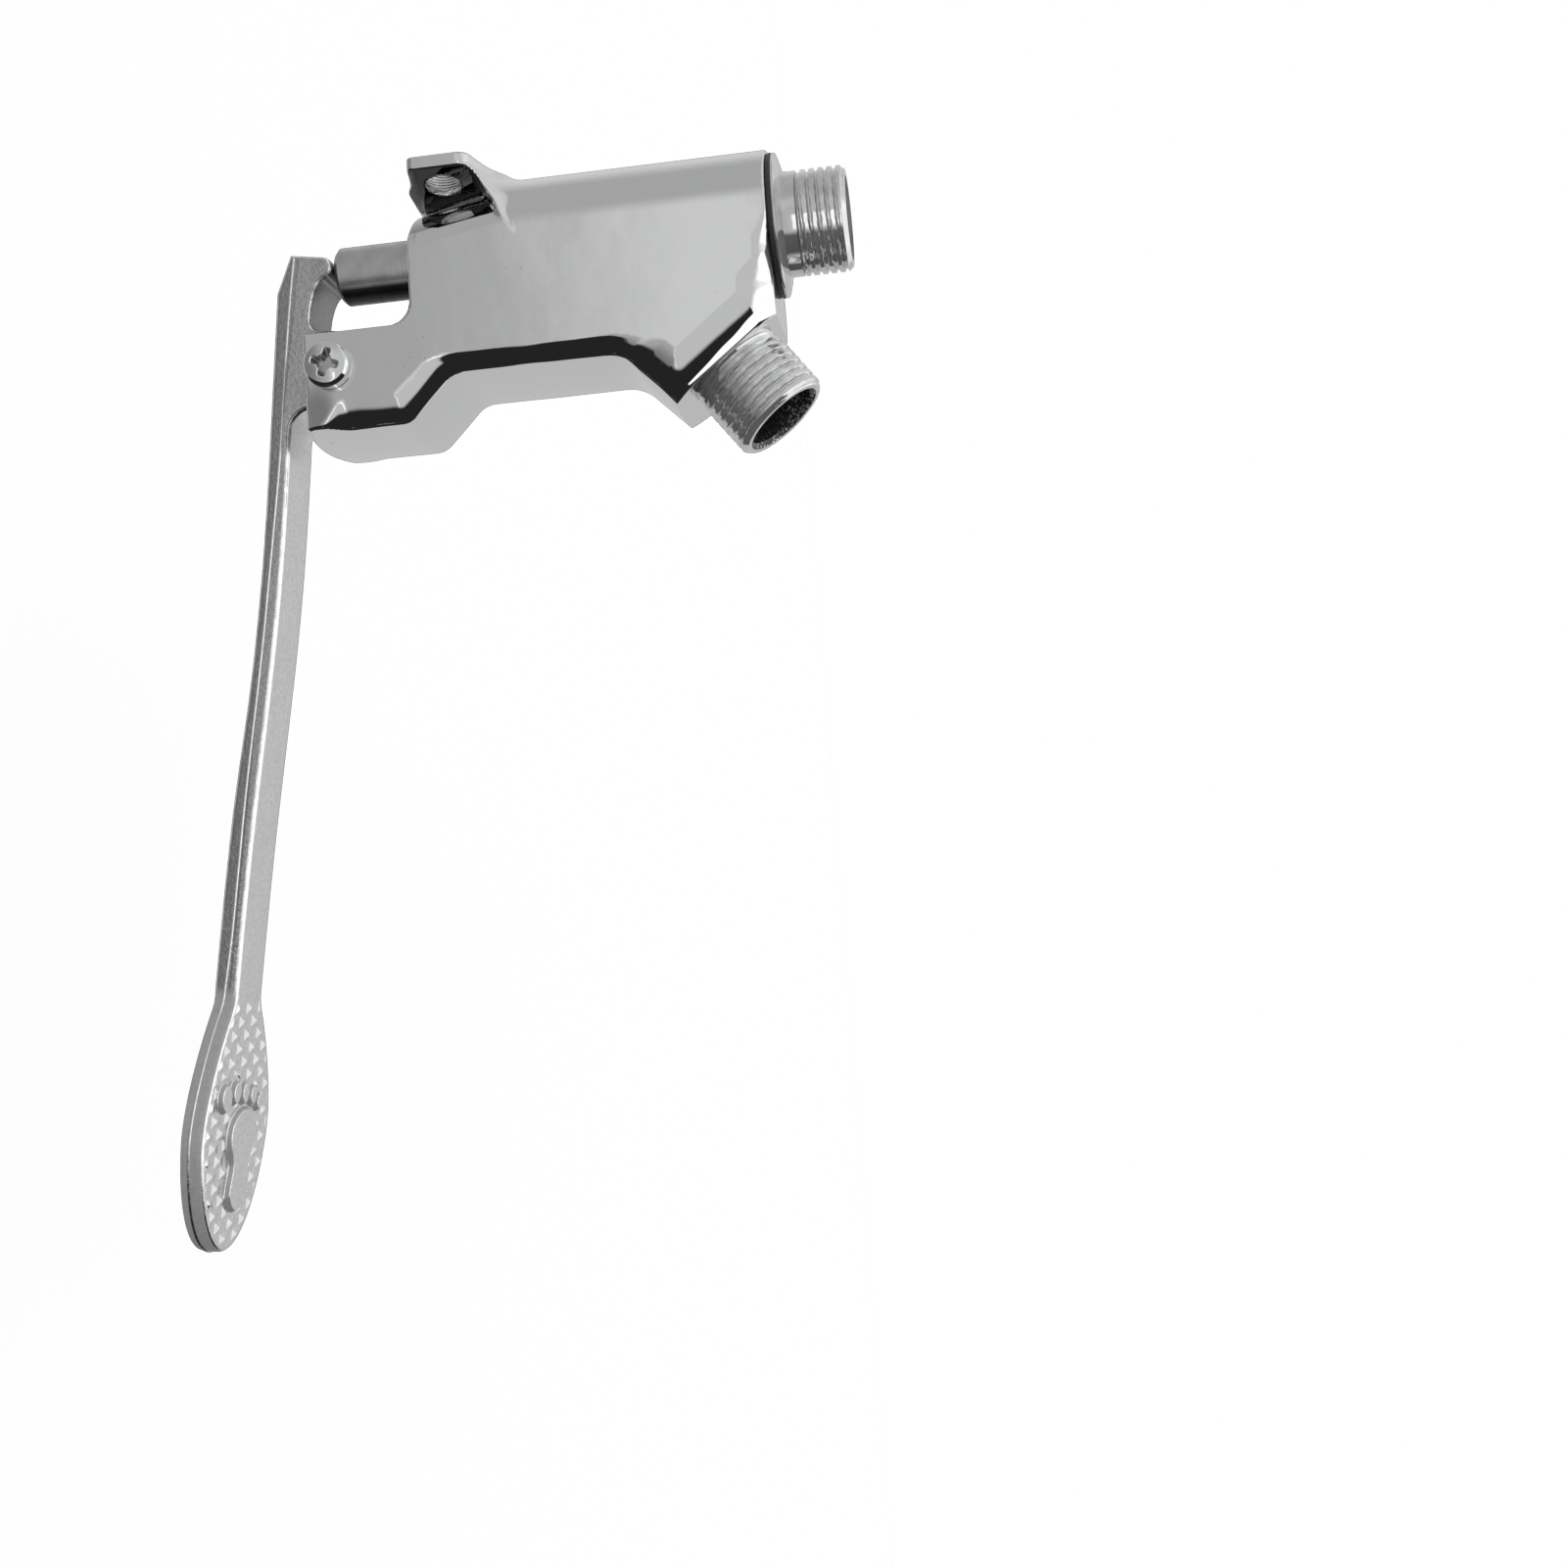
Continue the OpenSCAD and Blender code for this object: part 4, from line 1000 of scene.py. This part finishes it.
def line_height(u):
    """Height of the line where the two halves of the mould closed"""
    return -13.4 + 1.1 * soft_step(u, -20, 25) - 0.7 * soft_step(u, 50, 95) - 0.6 * soft_step(u, 112, 135)


def oval_spot(u, v, middle, half_len, half_wide, turn=0.0):
    du = u - middle[0]
    dv = v - middle[1]
    along = (du * math.cos(turn) + dv * math.sin(turn)) / half_len
    aside = (dv * math.cos(turn) - du * math.sin(turn)) / half_wide
    return (np.hypot(along, aside) - 1) * min(half_len, half_wide)


def footprint(u, v):
    """Distance from the outline of the raised footprint: a sole and five toes"""
    sole = oval_spot(u, v, (156.6, 1.6), 5.4, 6.4)
    arch = np.maximum(np.abs(v - 1.3) - 3.7, np.abs(u - 162) - 6)
    sole = blended_join(blended_join(sole, arch, 3), oval_spot(u, v, (168.2, 1.2), 4.2, 4.2), 3)
    toes = oval_spot(u, v, (148.5, -8.3), 3.0, 2.5, 0.3)
    for middle, half_len, half_wide in (((147.7, -3.5), 2.5, 1.9), ((148.1, 0.7), 2.4, 1.8),
                                        ((148.9, 4.7), 2.2, 1.7), ((150.6, 8.2), 1.9, 1.6)):
        toes = np.minimum(toes, oval_spot(u, v, middle, half_len, half_wide))
    return np.minimum(sole, toes)


def foot_relief(u, v):
    """Height of the tread on the foot plate: small pyramids in staggered rows round a footprint"""
    row = np.round((u - TREAD_START) / BUMP_ROW)
    shift = np.where(row % 2 == 0, 0.95, -2.0)
    column = np.round((v - shift) / BUMP_COLUMN)
    du = np.abs(u - TREAD_START - row * BUMP_ROW)
    dv = np.abs(v - shift - column * BUMP_COLUMN)
    pyramid = np.clip(1 - np.maximum(du / 1.25, dv / 2.0), 0, 0.9)
    rim = 1 - soft_step(lever_plan(u, v), -2.2, -1.0)
    clear = soft_step(footprint(u, v), 0.3, 1.3)
    tread = TREAD_HEIGHT * pyramid * rim * clear * soft_step(u, 128.6, 129.8)
    return np.maximum(tread, SOLE_HEIGHT * (1 - soft_step(footprint(u, v), -0.4, 0.25)))


def lever_field(u, v, w):
    """Distance from the skin of the lever, in mm"""
    profile = outline_distance(lever_outline, u, w)
    draft = 0.06 * np.minimum(np.abs(w - line_height(u)), 4)
    solid = rounded_meet(lever_plan(u, v) + draft, profile, 0.9)
    return np.maximum(solid, BUSH_HOLE_R - np.hypot(u, w))


def tread_field(u, v, w):
    """Distance from the skin of the raised tread, which stands on the foot plate"""
    height = np.maximum(w - FOOT_FACE - 0.03 - foot_relief(u, v), FOOT_FACE - 0.6 - w)
    return np.maximum(height * 0.8, np.maximum(lever_plan(u, v) + 1.0, 128.0 - u))


def lever_to_frame(points):
    """From the lever's own lengths to the shared frame, at rest"""
    u, v, w = np.asarray(points).T
    y = PIVOT_B - AXIS_DEPTH - u * math.cos(ARM_TILT) - w * math.sin(ARM_TILT)
    z = PIVOT_Z - u * math.sin(ARM_TILT) + w * math.cos(ARM_TILT)
    return np.stack([v, y, z], axis=1)


def add_dot(tree, vector, axis):
    made = add_node(tree, "ShaderNodeVectorMath", operation="DOT_PRODUCT")
    tree.links.new(vector, made.inputs[0])
    made.inputs[1].default_value = axis
    return made.outputs["Value"]


lever_origin = lever_to_frame(np.zeros((1, 3)))
cast_grain = noise_group("cast_grain", "Grains per metre", "Grain", 5, 0.62)
lever_plating, tree, shader, place = new_finish("lever_plating")
from_pivot = add_node(tree, "ShaderNodeVectorMath", operation="SUBTRACT")
tree.links.new(place, from_pivot.inputs[0])
from_pivot.inputs[1].default_value = (lever_origin[0] / 1000).tolist()
from_pivot = from_pivot.outputs[0]
facing = facing_of(tree)
square_axis = (0, -math.sin(ARM_TILT), math.cos(ARM_TILT))
along_arm = add_dot(tree, from_pivot, (0, -math.cos(ARM_TILT), -math.sin(ARM_TILT)))
above_pivot = add_dot(tree, from_pivot, square_axis)
facing_up = add_dot(tree, facing, square_axis)
facing_aside = add_math(tree, "ABSOLUTE", add_split(tree, facing)["X"])
edge = add_zone(tree, (facing_aside, 0.86, 0.97))
at_plate = add_zone(tree, (along_arm, 0.125, 0.129))
facing_flat = add_math(tree, "ABSOLUTE", facing_up)
plate_edge = add_math(tree, "MULTIPLY", at_plate, add_zone(tree, (facing_flat, 0.8, 0.6)))
any_edge = add_math(tree, "MAXIMUM", edge, plate_edge)
# Painted shade: faces of the nose and web that look up into the fork are coloured dark, and rougher.
shaded_hollow_face = add_zone(tree, (facing_up, 0.4, 0.7), (along_arm, -0.0075, -0.0095))
upper_half = add_zone(tree, (above_pivot, -0.0126, -0.0122))
grain = use_group(tree, cast_grain, place, Grains_per_metre=1100.0)
glint_flecks = use_group(tree, plating_pits, place, Cells_per_metre=1300.0, Pit_Size=0.3, Patchiness=0.5)
waves = use_group(tree, polish_waves, place, Waves_per_metre=120.0)
marks = use_group(tree, polish_marks, place, Marks_per_metre=1300.0)
rough_share = add_math(tree, "MULTIPLY", edge, add_range(tree, at_plate, 0, 1, 1, 0.25))
rough_height = add_math(tree, "MULTIPLY", grain, add_range(tree, rough_share, 0, 1, 0.06, 1))
ground = add_math(tree, "MULTIPLY", add_math(tree, "MULTIPLY", rough_share, upper_half),
                  add_range(tree, along_arm, 0.062, 0.075, 0.3, 1))
normal = add_bump(tree, waves, 0.00012)
normal = add_bump(tree, rough_height, 0.00022, normal)
normal = add_bump(tree, add_math(tree, "MULTIPLY", marks, ground), 0.0003, normal)
edge_tone = add_blend(tree, at_plate, add_range(tree, upper_half, 0, 1, 0.43, 0.52), 0.42)
tone = add_blend(tree, any_edge, add_blend(tree, shaded_hollow_face, 0.76, 0.26), edge_tone)
tone = add_math(tree, "MULTIPLY", tone, add_range(tree, grain, 0.25, 0.75, 1.06, 0.9))
# Painted highlight: a ragged, near-white line along the rounded edges between the lever's faces and sides.
ragged = add_range(tree, use_group(tree, cast_grain, place, Grains_per_metre=420.0), 0.42, 0.54, 0.1, 1)
painted_edge_highlight = add_zone(tree, (facing_aside, 0.2, 0.4), (facing_aside, 0.96, 0.88))
painted_edge_highlight = add_math(tree, "MULTIPLY", painted_edge_highlight, ragged)
painted_edge_highlight = add_math(tree, "MULTIPLY", painted_edge_highlight, add_range(tree, plate_edge, 0, 1, 1, 0))
tone = add_blend(tree, painted_edge_highlight, tone, 0.97)
# Painted glints: near-white flecks on the grainy cast edges.
tone = add_blend(tree, add_math(tree, "MULTIPLY", glint_flecks, rough_share), tone, 0.95)
edge_rough = add_blend(tree, at_plate, add_range(tree, grain, 0.3, 0.7, 0.18, 0.32), 0.5)
rough = add_blend(tree, any_edge, add_range(tree, marks, 0.3, 0.7, 0.16, 0.26), edge_rough)
set_surface(tree, shader, tint(tree, tone, (0, 0, 0, 1), (1, 1, 1, 1)),
            add_blend(tree, shaded_hollow_face, rough, 0.4), normal)
tree.links.new(add_range(tree, plate_edge, 0, 1, 1, 0.35), shader.inputs["Metallic"])
for name, field, low, high, step in (
        ("lever_casting", lever_field, (-27, -17.5, -17.5), (182, 17.5, 9.5), LEVER_STEP),
        ("foot_tread", tread_field, (126, -16.5, -12.0), (181, 16.5, -9.2), TREAD_STEP)):
    points, faces, normals = skin(field, low, high, step)
    piece = add_piece(name, lever_to_frame(points), faces, lever_to_frame(normals) - lever_origin)
    fit(piece, lever_plating, "pedal_lever", "pedal")

# A fine ridge runs along the edges of the lever, where the two halves of its mould closed.
# It is cast with the lever, and is coloured near white as a painted highlight.
LINE_HALF = 0.3
LINE_TOP = 0.135
LINE_PROUD = 0.2
LINE_SUNK = -0.15
tip = PLATE_MIDDLE + PLATE_HALF_LEN
stations = np.concatenate([np.linspace(-25.0, 176, 280), tip - np.geomspace(4.2, 0.012, 40)])
edge_v = []
for u in stations:
    low, high = 0.0, 18.0
    for _ in range(40):
        middle = (low + high) / 2
        if lever_plan(np.array([u]), np.array([middle]))[0] < 0:
            low = middle
        else:
            high = middle
    edge_v.append(low)
edge_v = np.array(edge_v)
run = np.concatenate([np.column_stack([stations, edge_v]), np.column_stack([stations, -edge_v])[::-1]])
ahead = unit(np.gradient(run, axis=0))
outward = np.stack([-ahead[:, 1], ahead[:, 0]], axis=1)
outward *= np.sign((outward * (run - np.array([90.0, 0.0]))).sum(axis=1))[:, None]
outward[:, 1] = np.abs(outward[:, 1]) * np.repeat([1, -1], len(stations))
points = []
for offset, proud in ((-LINE_HALF, LINE_SUNK), (-LINE_TOP, LINE_PROUD), (LINE_TOP, LINE_PROUD),
                      (LINE_HALF, LINE_SUNK)):
    points.append(np.column_stack([run + outward * proud, line_height(run[:, 0]) + offset]))
points = np.stack(points, axis=1).reshape(-1, 3)
faces = []
for here in range(0, len(points) - 4, 4):
    for k in range(4):
        nearby = (k + 1) % 4
        faces.append((here + k, here + nearby, here + 4 + nearby, here + 4 + k))
faces += [(3, 2, 1, 0), tuple(range(len(points) - 4, len(points)))]
parting_line = add_piece("parting_line", lever_to_frame(points), faces, sharp_angle=80)
ridge_painted_highlight, tree, shader, place = new_finish("ridge_painted_highlight")
grain = use_group(tree, cast_grain, place, Grains_per_metre=900.0)
set_surface(tree, shader, tint(tree, grain, (0.95, 0.95, 0.95, 1), (0.7, 0.7, 0.7, 1)),
            add_range(tree, grain, 0.3, 0.7, 0.15, 0.35), add_bump(tree, grain, 0.0001))
fit(parting_line, ridge_painted_highlight, "pedal_lever", "pedal")

# The pivot is a plated steel screw with a pan head and a pressed cross, put through the fork from one side.
# The lever's bush turns on its shank, and its thread takes the nut on the far side.
HEAD_R = 4.75
HEAD_H = 3.4
DOME_R = 15.0
CROSS_TURN = math.radians(17)
CROSS_DEPTH = 2.4
SHANK_R = 2.5
SCREW_REACH = 37.0
SCREW_PITCH = 0.8
PIVOT_PLACE = np.array([0, PIVOT_B - AXIS_DEPTH, PIVOT_Z])


def screw_head(x, p, q):
    """Distance from the skin of the screw head; x runs across the valve, p and q from the screw's axis"""
    radius = np.hypot(p, q)
    proud = -BARREL_R - x
    dome = np.sqrt(radius ** 2 + (proud - HEAD_H + DOME_R) ** 2) - DOME_R
    head = rounded_meet(rounded_meet(radius - HEAD_R, dome, 0.8), -proud - 0.02, 0.2)
    a = p * math.cos(CROSS_TURN) + q * math.sin(CROSS_TURN)
    b = q * math.cos(CROSS_TURN) - p * math.sin(CROSS_TURN)
    depth = HEAD_H - proud
    wide = 0.8 - 0.12 * depth
    long = 3.15 - 0.6 * depth
    flute_a = rounded_meet(np.abs(a) - wide, np.abs(b) - long, 0.4)
    flute_b = rounded_meet(np.abs(b) - wide, np.abs(a) - long, 0.4)
    cross = np.minimum(blended_join(flute_a, flute_b, 0.9), radius - 1.7 + 0.3 * depth)
    return rounded_meet(head, -np.maximum(cross, depth - CROSS_DEPTH), 0.18)


def cross_painted_shade(tree, place):
    """Share of painted shade deep in the pressed cross"""
    deep = (HEAD_H - 0.4 + BARREL_R) / -1000
    share = add_range(tree, add_split(tree, place)["X"], deep, deep + 0.0008, 0, 0.45)
    middle = add_node(tree, "ShaderNodeVectorMath", operation="DISTANCE")
    tree.links.new(place, middle.inputs[0])
    middle.inputs[1].default_value = (deep, PIVOT_PLACE[1] / 1000, PIVOT_PLACE[2] / 1000)
    return add_math(tree, "MULTIPLY", share, add_zone(tree, (middle.outputs["Value"], 0.0038, 0.0033)))


screw_plating = chrome_finish("screw_plating", 500.0, 0.00003, 0.00004, 0.05, 0.14)
# The head's chrome is greyed deep in the cross, as painted shade.
head_plating = chrome_finish("head_plating", 500.0, 0.00003, 0.00004, 0.05, 0.14, cross_painted_shade)
points, faces, normals = skin(screw_head, (-18.9, -5.2, -5.2), (-14.5, 5.2, 5.2), 0.13)
head = add_piece("screw_head", points + PIVOT_PLACE, faces, normals)
fit(head, head_plating, "pivot_screw", "valve")
shank_rows = [(0, 0.02), (0, SHANK_R), (29, SHANK_R)]
turn = np.arange(SMALL_STEPS) / SMALL_STEPS
for height in np.arange(29.4, SCREW_REACH, 0.1):
    radius = SHANK_R - 0.4 + 0.38 * thread_ridge(height / SCREW_PITCH - turn)
    shank_rows.append((height, np.minimum(radius, 2.0 + (SCREW_REACH - height) * 0.9)))
shank_rows += [(SCREW_REACH, 1.9), (SCREW_REACH, 0.02)]
shank_place = (Matrix.Translation((-BARREL_R, PIVOT_PLACE[1], PIVOT_PLACE[2]))
               @ Matrix.Rotation(math.radians(90), 4, "Y"))
shank = turned_piece("screw_shank", shank_rows, shank_place, steps=SMALL_STEPS)
fit(shank, screw_plating, "pivot_screw", "valve")

# A plated hexagon nut holds the screw on the far side of the fork, on a plain steel washer.
# Both ends of the nut are bevelled where the bar was turned.
NUT_HALF = 4.0
NUT_LOW = 16.0
NUT_HIGH = 21.0
NUT_BORE_R = 2.53


def nut_field(x, p, q):
    """Distance from the skin of the nut"""
    radius = np.hypot(p, q)
    hexagon = np.full(np.broadcast(p, q).shape, -1e3)
    for side in range(3):
        angle = math.radians(60 * side)
        hexagon = np.maximum(hexagon, np.abs(p * math.cos(angle) + q * math.sin(angle)) - NUT_HALF)
    ends = np.abs(x - (NUT_LOW + NUT_HIGH) / 2) - (NUT_HIGH - NUT_LOW) / 2
    bevel = (radius - NUT_HALF - 0.05) * 0.5 + ends * 0.866
    solid = rounded_meet(rounded_meet(hexagon, ends, 0.15), bevel, 0.1)
    countersink = (radius - 2.9) * 0.7 - ends * 0.7
    bore = np.minimum(radius - NUT_BORE_R, np.maximum(countersink, -ends - 0.6))
    return rounded_meet(solid, -bore, 0.08)


points, faces, normals = skin(nut_field, (15.5, -5.2, -5.2), (21.5, 5.2, 5.2), 0.2)
nut = add_piece("fork_nut", points + PIVOT_PLACE, faces, normals)
fit(nut, screw_plating, "pivot_nut", "valve")
